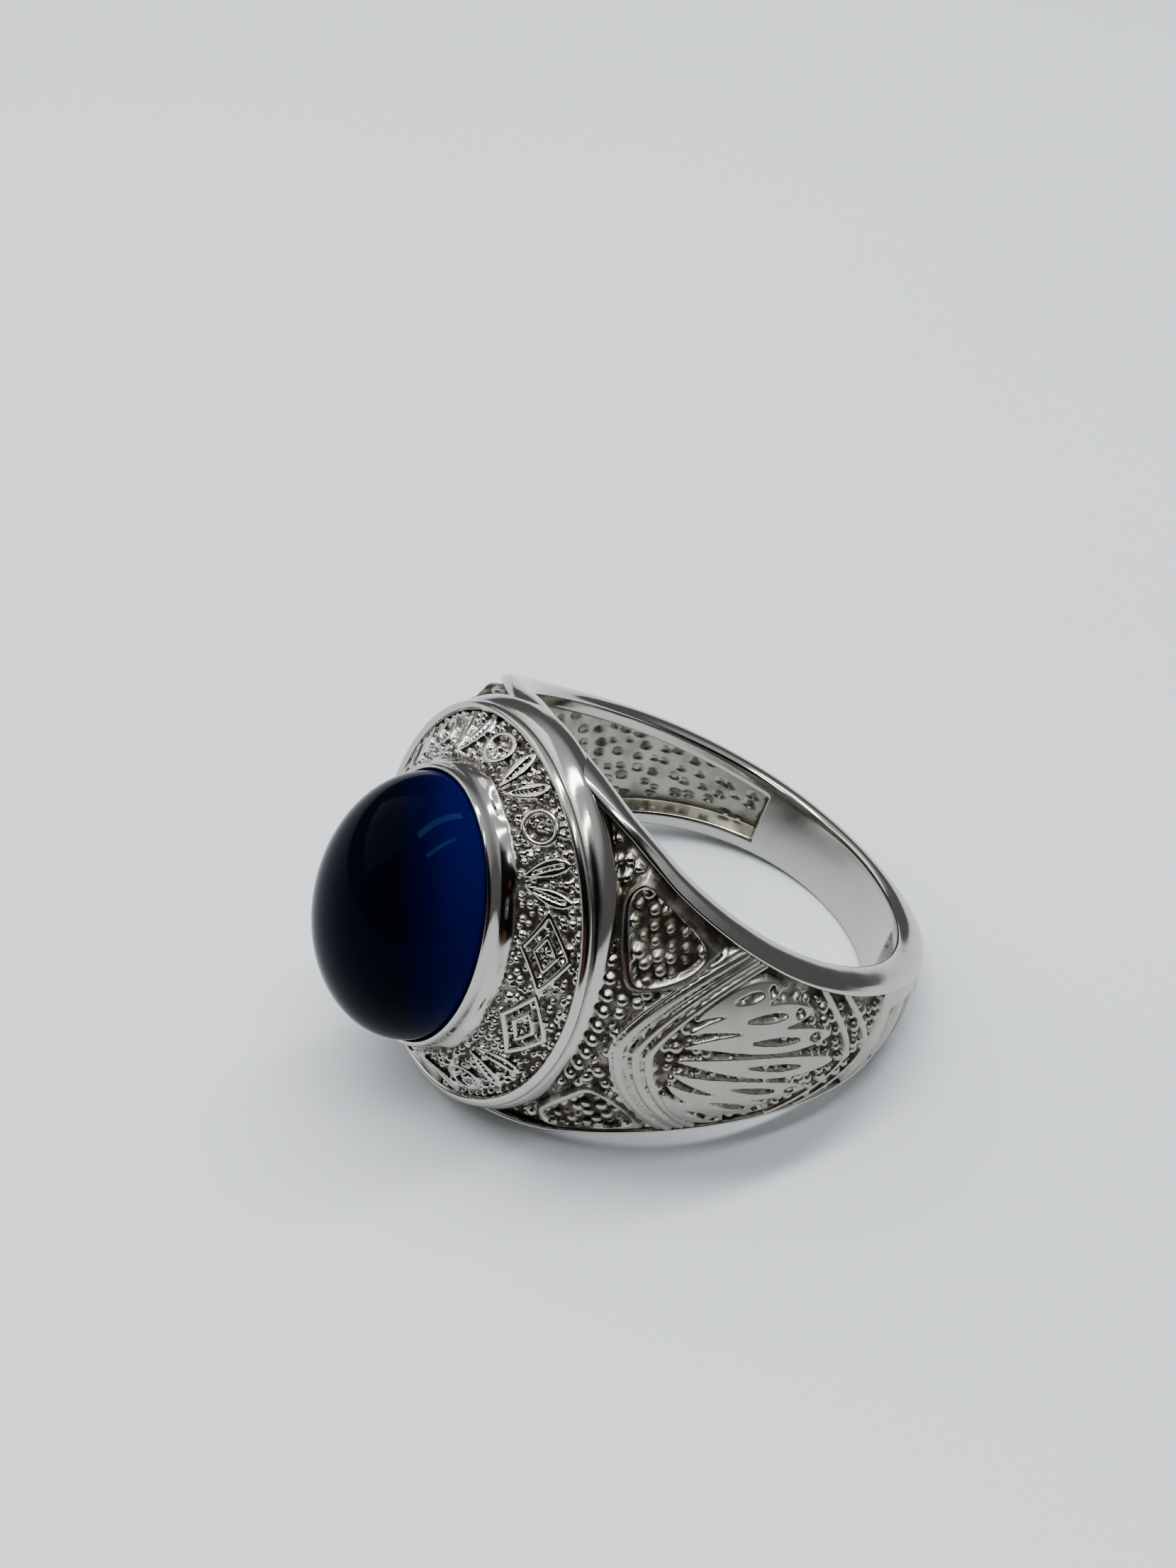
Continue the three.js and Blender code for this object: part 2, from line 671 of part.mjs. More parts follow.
// The origin is the middle of the base of the ring's box
bodyGeometry.computeBoundingBox();
stoneGeometry.computeBoundingBox();
const box = bodyGeometry.boundingBox.clone().union(stoneGeometry.boundingBox);
const centre = box.getCenter(new THREE.Vector3());

function namedMesh(name, geometry, material) {
  geometry.computeVertexNormals();
  const mesh = new THREE.Mesh(geometry, material);
  mesh.name = name;
  return mesh;
}

const ring = new THREE.Group();
ring.add(namedMesh('ring_body', bodyGeometry, silver));
ring.add(namedMesh('cabochon', stoneGeometry, blueStone));
ring.position.set(-centre.x, -centre.y, 0);

export default ring;
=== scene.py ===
"""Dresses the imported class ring: silver casting, blue cabochon, floor, light and camera.

The pieces are shaped in the ring's own frame, in millimetres. The finger axis is Z, the stone faces -Y
and X runs across the head. A turn is in degrees round the finger, from the stone. laid() then lays each
piece on its side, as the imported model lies, in metres.
"""

import math

import bpy
import numpy as np
from mathutils import Matrix, Vector


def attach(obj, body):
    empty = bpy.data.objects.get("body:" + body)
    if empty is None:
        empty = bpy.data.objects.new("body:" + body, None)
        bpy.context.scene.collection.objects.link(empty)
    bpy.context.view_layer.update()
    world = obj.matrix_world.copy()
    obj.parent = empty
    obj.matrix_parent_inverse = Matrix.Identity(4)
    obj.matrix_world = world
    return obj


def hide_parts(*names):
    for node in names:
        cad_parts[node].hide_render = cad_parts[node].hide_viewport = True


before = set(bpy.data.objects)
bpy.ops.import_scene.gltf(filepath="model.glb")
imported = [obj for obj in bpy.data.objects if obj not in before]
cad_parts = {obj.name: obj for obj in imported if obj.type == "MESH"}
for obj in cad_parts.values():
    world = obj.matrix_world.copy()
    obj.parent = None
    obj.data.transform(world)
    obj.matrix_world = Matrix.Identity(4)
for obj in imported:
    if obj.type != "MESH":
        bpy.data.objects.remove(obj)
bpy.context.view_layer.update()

bl_info = {
    "name": "Class ring",
    "version": (1, 0, 0),
    "blender": (4, 5, 0),
    "location": "View3D > Sidebar > Ring",
    "description": "Builds a silver class ring with an oval cabochon",
    "category": "Add Mesh",
}

# How the ring lies: a turn about X and a shift, between the ring's own frame and the floor's
LAY_TILT = math.radians(19.622034)
LAY_SHIFT = np.array([0.0, -1.547042, -5.816572])

# Sizes of the casting, in millimetres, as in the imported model
BORE_RADIUS = 9.5
RAIL_WALL = 1.3
BACK_HALF_WIDTH = 1.75
HEAD_EDGE_HALF_WIDTH = 8.62
RAIL_FLARE = 0.6
RAIL_WIDTH = 0.4
RAIL_DOME = 0.2
SHOULDER_CROWN = 3.0
CROWN_POWER = 2.2
SCOOP_DEPTH = 0.95
SCOOP_LIP = 0.69
SCOOP_WALL = 0.19
SCOOP_END_TURN = 146.0
GROUND_DEPTH = 0.34
CORE_RADIUS = 10.53
FLANK_BULGE = 0.36
RIM = {"w": 8.44, "l": 8.62, "h": 11.52, "sag": 0.36, "band": 0.46, "wire": 0.42, "groove": 0.08}
FOOT = {"w": 5.42, "l": 6.52, "h": 13.06}
LIP = {"w": 5.14, "l": 6.28, "h": 13.93, "flange": 13.3}
PANEL_RELIEF = 0.3
STONE = {"w": 4.86, "l": 6.0, "h": 13.93, "girdle": 1.1, "dome": 4.1}

# The shank by turn: half width, crown and flare, as shares of their sizes
SECTIONS = np.array([
    (0, 1, 0, 0.1),
    (15, 0.96, 0.06, 0.2),
    (30, 0.82, 0.45, 0.75),
    (38, 0.733, 0.84, 0.8),
    (45, 0.65, 0.86, 0.65),
    (60, 0.5, 0.6, 0.25),
    (75, 0.37, 0.41, -0.08),
    (90, 0.265, 0.27, -0.22),
    (105, 0.179, 0.18, -0.2),
    (120, 0.109, 0.13, -0.2),
    (135, 0.055, 0.11, -0.25),
    (150, 0.02, 0.1, -0.35),
    (165, 0.002, 0.1, -0.55),
    (180, 0, 0.1, -0.7),
])
SECTION_TURNS = SECTIONS[:, 0]
SECTION_SHARES = {"width": SECTIONS[:, 1], "crown": SECTIONS[:, 2], "flare": SECTIONS[:, 3]}

# Relief of a shoulder: (turn, share of the half width there)
FRAME_OUTER = [
    (34.4, 0.74), (36.2, 0.86), (38.1, 0.9), (43, 0.905), (49, 0.9), (54.6, 0.885), (58.2, 0.86),
    (55.6, 0.725), (53.6, 0.6), (50.6, 0.48), (46.2, 0.39), (42.6, 0.345), (39, 0.5), (36.4, 0.63),
]
FRAME_INNER = [
    (37, 0.76), (38.1, 0.835), (39.6, 0.855), (44.1, 0.85), (49.6, 0.835), (53, 0.795), (53.9, 0.755),
    (53.2, 0.695), (51.6, 0.615), (48.7, 0.525), (45.4, 0.445), (43.4, 0.44), (41.3, 0.56), (38.8, 0.67),
]
RIBBON = {"apex": 45.8, "foot": 62.8, "half": 0.4}
LINES = [
    {"apex": 49.0, "foot": 65.6, "half": 0.23},
    {"apex": 51.3, "foot": 67.8, "half": 0.23},
    {"apex": 97.0, "foot": 84.0, "half": 0.22},
    {"apex": 103.5, "foot": 91.0, "half": 0.22},
]
ARCH_FOOT_SHARE = 0.92
ARCH_POWER = 1.5
PALMETTE_ROOT = 57.0
# Each petal's tip turn, tip share and root share
PETALS = [(92, 0.0, 0.0), (88, 0.42, 0.13), (81.5, 0.68, 0.25), (72.5, 0.8, 0.36)]
PETAL_HALF_WIDTH = 0.68
SLIT_START = 0.4
SLIT_END = 0.75
SLIT_HALF_WIDTH = 0.2
DROP_PLACE = 0.88
DROP_HALF_WIDTH = 0.25
RELIEF_BEVEL = 0.12
# The row of beads by the rim: (turn, millimetres from the middle)
BEAD_ROW = [(41.0, 0.0), (40.9, 0.97), (40.1, 2.1), (39.1, 2.66), (38.2, 3.15), (37.2, 3.63), (36.1, 4.09),
            (35.0, 4.58), (33.8, 5.07), (32.5, 5.48), (31.1, 6.05), (29.3, 6.7)]
BEAD_PITCH = 0.72
SLOT_TURNS = np.linspace(112, 168, 8)
SLOT_HALF_WIDTH = 0.5
SLOT_WIDTH_SHARE = 0.6

# Motifs of the panel
LOZENGE_ANGLES = [70.5, 97.5, 250.5, 277.5]
LOZENGE_HALF_ALONG = 1.62
LOZENGE_HALF_ACROSS = 1.05
FIRST_MOTIF_ANGLES = [-60, 120]
MOTIF_PITCH = 18
MOTIFS_PER_ARC = 7
MOTIF_HALF_LENGTH = 1.0
ANNULET_RADIUS = 0.68
LEAF_HALF_WIDTH = 0.4


# Shared arithmetic

def lerp(a, b, t):
    return a + (b - a) * t


def folded(turn):
    """Turn from the stone by the shorter way, 0 to 180."""
    return np.abs((turn + 180) % 360 - 180)


def between(column, turn):
    """Smooth value of one column of the section table at a turn."""
    x, y = SECTION_TURNS, SECTION_SHARES[column]
    slope = np.zeros_like(x)
    slope[1:-1] = (y[2:] - y[:-2]) / (x[2:] - x[:-2])
    reached = folded(turn)
    i = np.clip(np.searchsorted(x, reached) - 1, 0, len(x) - 2)
    span = x[i + 1] - x[i]
    t = (reached - x[i]) / span
    start = (1 + 2 * t) * (1 - t) ** 2 * y[i] + t * (1 - t) ** 2 * span * slope[i]
    return start + t * t * (3 - 2 * t) * y[i + 1] + t * t * (t - 1) * span * slope[i + 1]


def hole_half(turn):
    return BACK_HALF_WIDTH + (HEAD_EDGE_HALF_WIDTH - BACK_HALF_WIDTH) * between("width", turn)


def rail_half(turn):
    return hole_half(turn) + RAIL_FLARE * between("flare", turn)


def surface_radius(turn, z):
    """Radius of the shoulders' finished surface."""
    share = np.minimum(1, np.abs(z) / rail_half(turn))
    return BORE_RADIUS + RAIL_WALL + SHOULDER_CROWN * between("crown", turn) * (1 - share ** CROWN_POWER)


def round_finger(radius, turn, z):
    radius, turn, z = np.broadcast_arrays(radius, np.radians(turn), z)
    return np.stack([radius * np.sin(turn), -radius * np.cos(turn), z], axis=-1)


def laid(places):
    """Places of the ring's own frame, in millimetres, as places on the floor, in metres."""
    c, s = math.cos(LAY_TILT), math.sin(LAY_TILT)
    return (places - LAY_SHIFT) @ np.array([[1, 0, 0], [0, c, -s], [0, s, c]]) / 1000


def ease(value, low, high):
    t = np.clip((value - low) / (high - low), 0, 1)
    return t * t * (3 - 2 * t)


def chance(row, column, kind):
    """A fixed uneven number from 0 to 1 for a place in a pattern."""
    return np.modf(np.abs(np.sin(row * 127.1 + column * 311.7 + kind * 74.7) * 43758.5453))[0]


def grains(u, v, pitch, radius, unevenness):
    """Height of small round grains, set close in uneven rows, over places in millimetres."""
    row_pitch = pitch * 0.866
    height = np.zeros(np.broadcast(u, v).shape)
    for up in (-1, 0, 1):
        row = np.floor(v / row_pitch) + up
        stagger = 0.5 * (row % 2)
        for on in (-1, 0, 1):
            column = np.floor(u / pitch - stagger) + on
            centre_u = (column + stagger + 0.5 + unevenness * (chance(row, column, 1) - 0.5)) * pitch
            centre_v = (row + 0.5 + unevenness * (chance(row, column, 2) - 0.5)) * row_pitch
            size = radius * (0.75 + 0.5 * chance(row, column, 3))
            gap = ((u - centre_u) ** 2 + (v - centre_v) ** 2) / size ** 2
            height = np.maximum(height, size * np.sqrt(np.clip(1 - gap, 0, None)))
    return height


def along_path(path, u, v, closed=False):
    """Distance from each place to a path, and the share of the path that its nearest point is at."""
    path = np.asarray(path, float)
    if closed:
        path = np.vstack([path, path[:1]])
    nearest = np.full(np.broadcast(u, v).shape, 1e9)
    share = np.zeros_like(nearest)
    for k, (a, b) in enumerate(zip(path[:-1], path[1:])):
        d = b - a
        t = np.clip(((u - a[0]) * d[0] + (v - a[1]) * d[1]) / (d @ d), 0, 1)
        gap = np.hypot(u - a[0] - t * d[0], v - a[1] - t * d[1])
        nearer = gap < nearest
        nearest = np.where(nearer, gap, nearest)
        share = np.where(nearer, (k + t) / (len(path) - 1), share)
    return nearest, share


def depth_inside(path, u, v):
    """Distance from each place to a closed outline, positive inside it."""
    path = np.asarray(path, float)
    gap, _ = along_path(path, u, v, closed=True)
    crossings = np.zeros(gap.shape, int)
    for a, b in zip(path, np.roll(path, -1, axis=0)):
        spans = (a[1] > v) != (b[1] > v)
        rise = b[1] - a[1] if b[1] != a[1] else 1e-9
        crossings += spans & (u < (b[0] - a[0]) * (v - a[1]) / rise + a[0])
    return np.where(crossings % 2 == 1, gap, -gap)


def smoothed(path):
    """A closed path with its corners cut, twice over."""
    path = np.asarray(path, float)
    for _ in range(2):
        following = np.roll(path, -1, axis=0)
        cut = [0.75 * path + 0.25 * following, 0.25 * path + 0.75 * following]
        path = np.stack(cut, axis=1).reshape(-1, 2)
    return path


def plateau(depth, bevel):
    """Rises from 0 at an edge to 1 where the depth inside it reaches the bevel."""
    return ease(depth, 0, bevel)


def rounded(gap, half):
    """Half-round ridge."""
    return np.sqrt(np.clip(1 - (gap / half) ** 2, 0, 1))


# Making meshes

# Vertices nearer than this are joined where a band closes on itself, in metres
SEAM = 2e-7


def clear_selection():
    if bpy.context.object and bpy.context.object.mode != "OBJECT":
        bpy.ops.object.mode_set(mode="OBJECT")
    bpy.ops.object.select_all(action="DESELECT")


def put_places(piece, places, dark):
    """Moves a blank's vertices to their places and keeps how darkened each one is."""
    mesh = piece.data
    mesh.vertices.foreach_set("co", laid(places.reshape(-1, 3)).astype(np.float32).ravel())
    tarnish_and_shade_layer = mesh.attributes.new("tarnish_and_painted_shade", "FLOAT", "POINT")
    tarnish_and_shade_layer.data.foreach_set("value", np.clip(dark, 0, 1).astype(np.float32).ravel())
    mesh.update()


def enclosed_volume(mesh):
    """Volume inside a closed mesh, negative where its faces point inwards."""
    mesh.calc_loop_triangles()
    places = np.zeros(len(mesh.vertices) * 3)
    mesh.vertices.foreach_get("co", places)
    corners = np.zeros(len(mesh.loop_triangles) * 3, int)
    mesh.loop_triangles.foreach_get("vertices", corners)
    a, b, c = places.reshape(-1, 3)[corners].reshape(-1, 3, 3).transpose(1, 0, 2)
    return (a * np.cross(b, c)).sum() / 6


def finish_piece(piece, sharp_angle=80):
    """Turns the faces outwards, shades them smooth and clears the object's own turn and place."""
    clear_selection()
    piece.select_set(True)
    bpy.context.view_layer.objects.active = piece
    bpy.ops.object.transform_apply(location=True, rotation=True, scale=True)
    bpy.ops.object.mode_set(mode="EDIT")
    bpy.ops.mesh.select_all(action="SELECT")
    bpy.ops.mesh.normals_make_consistent(inside=False)
    bpy.ops.object.mode_set(mode="OBJECT")
    if enclosed_volume(piece.data) < 0:
        bpy.ops.object.mode_set(mode="EDIT")
        bpy.ops.mesh.flip_normals()
        bpy.ops.object.mode_set(mode="OBJECT")
    bpy.ops.object.shade_smooth_by_angle(angle=math.radians(sharp_angle))
    piece.select_set(False)


def closed_band(name, places, dark):
    """A piece whose sections follow each other round a loop. places is (sections, points, 3)."""
    clear_selection()
    sections, points = places.shape[:2]
    bpy.ops.mesh.primitive_grid_add(x_subdivisions=sections, y_subdivisions=points, size=2)
    piece = bpy.context.object
    piece.name = piece.data.name = name
    blank = np.zeros(len(piece.data.vertices) * 3)
    piece.data.vertices.foreach_get("co", blank)
    blank = blank.reshape(-1, 3)[:, :2]
    column, row = np.rint((blank + 1) / 2 * np.array([sections, points])).astype(int).T
    put_places(piece, places[column % sections, row % points], dark[column % sections, row % points])
    piece.select_set(True)
    bpy.ops.object.mode_set(mode="EDIT")
    bpy.ops.mesh.select_all(action="SELECT")
    bpy.ops.mesh.remove_doubles(threshold=SEAM)
    bpy.ops.object.mode_set(mode="OBJECT")
    finish_piece(piece)
    return piece


def capped_band(name, places, dark):
    """A piece whose sections follow each other from one end to the other, closed at both ends."""
    clear_selection()
    sections, points = places.shape[:2]
    bpy.ops.mesh.primitive_uv_sphere_add(segments=points, ring_count=sections + 1)
    piece = bpy.context.object
    piece.name = piece.data.name = name
    blank = np.zeros(len(piece.data.vertices) * 3)
    piece.data.vertices.foreach_get("co", blank)
    blank = blank.reshape(-1, 3)
    level = np.rint(np.arccos(np.clip(blank[:, 2], -1, 1)) / math.pi * (sections + 1)).astype(int)
    around = np.arctan2(blank[:, 1], blank[:, 0]) / (2 * math.pi) % 1
    place = np.rint(around * points).astype(int) % points
    whole = np.concatenate([np.repeat(places[:1].mean(1, keepdims=True), points, 1), places,
                            np.repeat(places[-1:].mean(1, keepdims=True), points, 1)])
    dark_rows = np.concatenate([dark[:1], dark, dark[-1:]])
    put_places(piece, whole[level, place], dark_rows[level, place])
    finish_piece(piece)
    return piece


def dressed(piece, material):
    piece.data.materials.clear()
    piece.data.materials.append(material)
    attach(piece, "root")


# Materials

# The stone's painted glow, light painted into its colour: the way across it, and the place and width of the
# change along that way, in millimetres
PAINTED_GLOW_DIRECTION = (0.47, 0.88, 0.03)
PAINTED_GLOW_MIDDLE = -9.5
PAINTED_GLOW_SPAN = 9.5


def blank_material(name):
    material = bpy.data.materials.get(name) or bpy.data.materials.new(name)
    material.use_nodes = True
    nodes = material.node_tree.nodes
    nodes.clear()
    shader = nodes.new("ShaderNodeBsdfPrincipled")
    out = nodes.new("ShaderNodeOutputMaterial")
    material.node_tree.links.new(shader.outputs[0], out.inputs[0])
    return material, nodes, material.node_tree.links, shader


def noise(nodes, links, scale, detail=3.0, stretch=None):
    """Noise over the piece's own place, in waves a metre."""
    where = nodes.new("ShaderNodeTexCoord")
    made = nodes.new("ShaderNodeTexNoise")
    made.inputs["Scale"].default_value = scale
    made.inputs["Detail"].default_value = detail
    source = where.outputs["Object"]
    if stretch:
        turned = nodes.new("ShaderNodeMapping")
        turned.inputs["Scale"].default_value = stretch
        links.new(source, turned.inputs["Vector"])
        source = turned.outputs[0]
    links.new(source, made.inputs["Vector"])
    return made.outputs["Fac"]


def ramp(nodes, links, source, stops):
    made = nodes.new("ShaderNodeValToRGB")
    elements = made.color_ramp.elements
    while len(elements) < len(stops):
        elements.new(0.5)
    for element, (position, colour) in zip(elements, stops):
        element.position = position
        element.color = (*colour, 1) if len(colour) == 3 else colour
    links.new(source, made.inputs[0])
    return made.outputs[0]


def scaled(nodes, links, source, factor, add=0.0):
    made = nodes.new("ShaderNodeMath")
    made.operation = "MULTIPLY_ADD"
    links.new(source, made.inputs[0])
    made.inputs[1].default_value = factor
    made.inputs[2].default_value = add
    return made.outputs[0]


def added(nodes, links, one, other):
    made = nodes.new("ShaderNodeMath")
    made.operation = "ADD"
    made.use_clamp = True
    links.new(one, made.inputs[0])
    links.new(other, made.inputs[1])
    return made.outputs[0]


def silver_material(looks):
    """Polished silver that is darkened where the relief is low, as oxide, and on the shoulders as painted
    shade and reflections.
    """
    material, nodes, links, shader = blank_material("polished_silver")
    tarnish_and_shade_layer = nodes.new("ShaderNodeAttribute")
    tarnish_and_shade_layer.attribute_name = "tarnish_and_painted_shade"
    patches = noise(nodes, links, 900, 4)
    amount = scaled(nodes, links, tarnish_and_shade_layer.outputs["Fac"], looks.tarnish_and_painted_shade * 1.25)
    uneven = nodes.new("ShaderNodeMath")
    uneven.operation = "MULTIPLY"
    links.new(amount, uneven.inputs[0])
    links.new(scaled(nodes, links, patches, 1.6, 0.2), uneven.inputs[1])
    uneven.use_clamp = True
    bright = tuple(looks.silver)
    colour = ramp(nodes, links, uneven.outputs[0], [
        (0.0, bright), (0.25, tuple(0.8 * c for c in bright)),
        (0.55, (0.34, 0.32, 0.27)), (1.0, (0.05, 0.04, 0.03))])
    links.new(colour, shader.inputs["Base Color"])
    shader.inputs["Metallic"].default_value = 1.0
    rough = added(nodes, links, scaled(nodes, links, uneven.outputs[0], 0.38, looks.roughness),
                  scaled(nodes, links, noise(nodes, links, 350, 5), 0.1, -0.03))
    links.new(rough, shader.inputs["Roughness"])
    bump = nodes.new("ShaderNodeBump")
    bump.inputs["Strength"].default_value = 0.25
    bump.inputs["Distance"].default_value = 0.00002
    scratches = noise(nodes, links, 2600, 3, (1, 0.12, 0.12))
    links.new(scratches, bump.inputs["Height"])
    waves = nodes.new("ShaderNodeBump")
    waves.inputs["Strength"].default_value = 0.5
    waves.inputs["Distance"].default_value = 0.00006
    links.new(noise(nodes, links, 420, 1), waves.inputs["Height"])
    links.new(bump.outputs[0], waves.inputs["Normal"])
    links.new(waves.outputs[0], shader.inputs["Normal"])
    return material


def stone_material(looks):
    """Polished blue glass: near black, with a painted blue glow, light painted into its colour on the side
    away from the light.
    """
    material, nodes, links, shader = blank_material("blue_stone")
    where = nodes.new("ShaderNodeTexCoord")
    across = nodes.new("ShaderNodeVectorMath")
    across.operation = "DOT_PRODUCT"
    links.new(where.outputs["Object"], across.inputs[0])
    across.inputs[1].default_value = PAINTED_GLOW_DIRECTION
    place = scaled(nodes, links, across.outputs["Value"], 1000 / PAINTED_GLOW_SPAN, 0.5 - PAINTED_GLOW_MIDDLE / PAINTED_GLOW_SPAN)
    place = added(nodes, links, place, scaled(nodes, links, noise(nodes, links, 150, 2), 0.16, -0.08))
    glow_blue = tuple(looks.stone)
    # Painted light: a teal edge, a dark middle and a blue glow, by place across the stone, stand in for the
    # light that passes through it
    colour = ramp(nodes, links, place, [
        (0.0, (0.006, 0.02, 0.034)), (0.12, (0.0015, 0.005, 0.014)), (0.34, (0.0008, 0.0014, 0.005)),
        (0.58, (0.0008, 0.001, 0.003)), (0.7, tuple(0.35 * c for c in glow_blue)), (0.84, glow_blue),
        (0.95, tuple(1.2 * c for c in glow_blue)), (1.0, tuple(0.6 * c for c in glow_blue))])
    links.new(colour, shader.inputs["Base Color"])
    shader.inputs["IOR"].default_value = 1.45
    shader.inputs["Specular IOR Level"].default_value = 0.018
    shader.inputs["Specular Tint"].default_value = (0.25, 0.6, 1, 1)
    links.new(scaled(nodes, links, noise(nodes, links, 900, 4), 0.06, 0.02), shader.inputs["Roughness"])
    return material


def floor_material(looks):
    """Matt pale ground with faint clouds."""
    material, nodes, links, shader = blank_material("pale_floor")
    cloud = noise(nodes, links, 12, 2)
    base = tuple(looks.floor)
    colour = ramp(nodes, links, cloud, [(0.3, tuple(0.97 * c for c in base)), (0.7, base)])
    links.new(colour, shader.inputs["Base Color"])
    shader.inputs["Roughness"].default_value = 0.85
    return material


# The finger band: inside, side faces and rails

# Steps along the parts of a section, as shares of each part
SCOOP_POINTS = 54
WALL_STEPS = (0.2, 0.55, 0.9, 1.0)
LIP_STEPS = (0.35, 0.7)
SIDE_STEPS = (0.02, 0.07, 0.15, 0.27, 0.42, 0.58, 0.74, 0.88, 0.97)
RAIL_STEPS = (0.1, 0.35, 0.6, 0.85)
UNDER_STEPS = (0.9, 0.6, 0.25)
# Points of the small round edges: rise above the bore or the rail, and place from the hole's or rail's edge
HOLE_EDGE = [(0.005, -0.09), (0.035, -0.02)]
RAIL_EDGE = [(-0.06, 0.01), (0.0, -0.05)]
# The side face swells to its full height between these turns, from this share of it under the head
DOME_UNDER_HEAD = 0.75
DOME_TURNS = (8, 26)
SCOOP_END_SPAN = 0.6
PIT_RADIUS_SHARE = 0.27
UNDER_GAP = 0.08
HIDDEN_TARNISH = 0.8
GROOVE_TARNISH = 0.9


def scoop_floor(turn, side, sizes):
    """How scooped each section is, the foot of the scoop's wall, and the floor's radii, z and tarnish."""
    scooped = 1 - ease(folded(turn), SCOOP_END_TURN - SCOOP_END_SPAN, SCOOP_END_TURN + SCOOP_END_SPAN)
    foot = hole_half(turn) - SCOOP_LIP - SCOOP_WALL * scooped
    share = np.linspace(0, 1, SCOOP_POINTS)
    z = foot * share
    radius = sizes.pebble_pitch * PIT_RADIUS_SHARE
    pits = grains(np.radians(turn) * BORE_RADIUS, side * z + 40, sizes.pebble_pitch, radius, 0.6)
    pit = ease(pits / radius, 0, 1.1) * ease(1 - share, 0, 0.08)
    floor = BORE_RADIUS + scooped * (SCOOP_DEPTH + sizes.pebble_depth * (pit - 0.4))
    dark = scooped * (0.54 + 0.14 * pit + 0.2 * ease(share, 0.86, 1))
    return scooped, foot, (floor, z, dark)


def under_plate(turn, z):
    """Radius of the band's hidden top, just under the shoulders' plates."""
    return np.maximum(CORE_RADIUS, surface_radius(turn, z) - GROUND_DEPTH - UNDER_GAP)


def band_section(turn, side, sizes):
    """Upper or lower half of each section of the finger band."""
    hole, rail = hole_half(turn), rail_half(turn)
    scooped, foot, floor = scoop_floor(turn, side, sizes)
    rows = [floor]

    def add(radius, height, dark=0.0):
        rows.append(np.broadcast_arrays(radius + 0 * turn, height + 0 * turn, dark + 0 * turn))

    for t in WALL_STEPS:
        add(BORE_RADIUS + SCOOP_DEPTH * scooped * (1 - t), foot + SCOOP_WALL * scooped * t,
            scooped * 0.55 * (1 - t))
    for t in LIP_STEPS:
        add(BORE_RADIUS, hole - SCOOP_LIP + (SCOOP_LIP - 0.1) * t)
    for rise, place in HOLE_EDGE:
        add(BORE_RADIUS + rise, hole + place)
    rail_radius = BORE_RADIUS + RAIL_WALL
    dome = RAIL_DOME * lerp(DOME_UNDER_HEAD, 1.0, ease(folded(turn), *DOME_TURNS))
    for t in SIDE_STEPS:
        swell = math.sin(math.pi * t ** 0.8) ** 0.7
        add(lerp(BORE_RADIUS + 0.07, rail_radius - 0.06, t), lerp(hole, rail, t) + dome * swell)
    for rise, place in RAIL_EDGE:
        add(rail_radius + rise, rail + place)
    rail_foot = rail - RAIL_WIDTH
    crest = surface_radius(turn, rail_foot)
    for t in RAIL_STEPS:
        bulge = 0.05 * math.sin(math.pi * t)
        add(lerp(rail_radius + 0.02, crest, t) + bulge, rail - 0.08 - (RAIL_WIDTH - 0.12) * t)
    add(crest - 0.05, rail_foot + 0.02, 0.1)
    add(crest - 0.3, rail_foot - 0.02, GROOVE_TARNISH)
    add(np.maximum(CORE_RADIUS, crest - GROUND_DEPTH - UNDER_GAP), rail_foot - 0.05, GROOVE_TARNISH)
    for t in UNDER_STEPS:
        add(under_plate(turn, rail_foot * t), rail_foot * t, HIDDEN_TARNISH)
    radius, height, dark = (
        np.concatenate([np.broadcast_to(row[k], (len(turn), row[k].shape[1])) for row in rows], axis=1)
        for k in range(3))
    return radius, side * height, dark


class RingSizes(bpy.types.PropertyGroup):
    """Sizes and colours of the ring that a user would change. Lengths are millimetres."""

    band_stations: bpy.props.IntProperty(
        name="Band stations", description="Sections of the finger band", default=540, min=60)
    grain_pitch: bpy.props.FloatProperty(
        name="Grain pitch", description="Between grains of the shoulders' ground, mm", default=0.6)
    panel_grain_pitch: bpy.props.FloatProperty(
        name="Panel grain pitch", description="Between grains of the panel's ground, mm", default=0.42)
    bead_radius: bpy.props.FloatProperty(
        name="Bead radius", description="Radius of the beads beside the head, mm", default=0.27)
    pebble_pitch: bpy.props.FloatProperty(
        name="Pebble pitch", description="Between the pits inside the shoulders, mm", default=0.8)
    pebble_depth: bpy.props.FloatProperty(
        name="Pebble depth", description="Depth of the pits inside the shoulders, mm", default=0.1)
    silver: bpy.props.FloatVectorProperty(
        name="Silver", description="Colour of the polished silver",
        subtype="COLOR", default=(0.445, 0.437, 0.4))
    roughness: bpy.props.FloatProperty(
        name="Roughness", description="Roughness of the polished silver",
        default=0.1, min=0, max=1, subtype="FACTOR")
    # Strength of the darkening: oxide in the low places, and the painted shade and reflections on the
    # shoulders
    tarnish_and_painted_shade: bpy.props.FloatProperty(
        name="Tarnish", description="How dark the low places are",
        default=0.8, min=0, max=1, subtype="FACTOR")
    # The stone's colour is also the blue of its painted glow, where the painted light is brightest
    stone: bpy.props.FloatVectorProperty(
        name="Stone", description="Colour of the stone", subtype="COLOR", default=(0.0004, 0.0014, 0.05))
    floor: bpy.props.FloatVectorProperty(
        name="Floor", description="Colour of the floor", subtype="COLOR", default=(0.79, 0.82, 0.845))


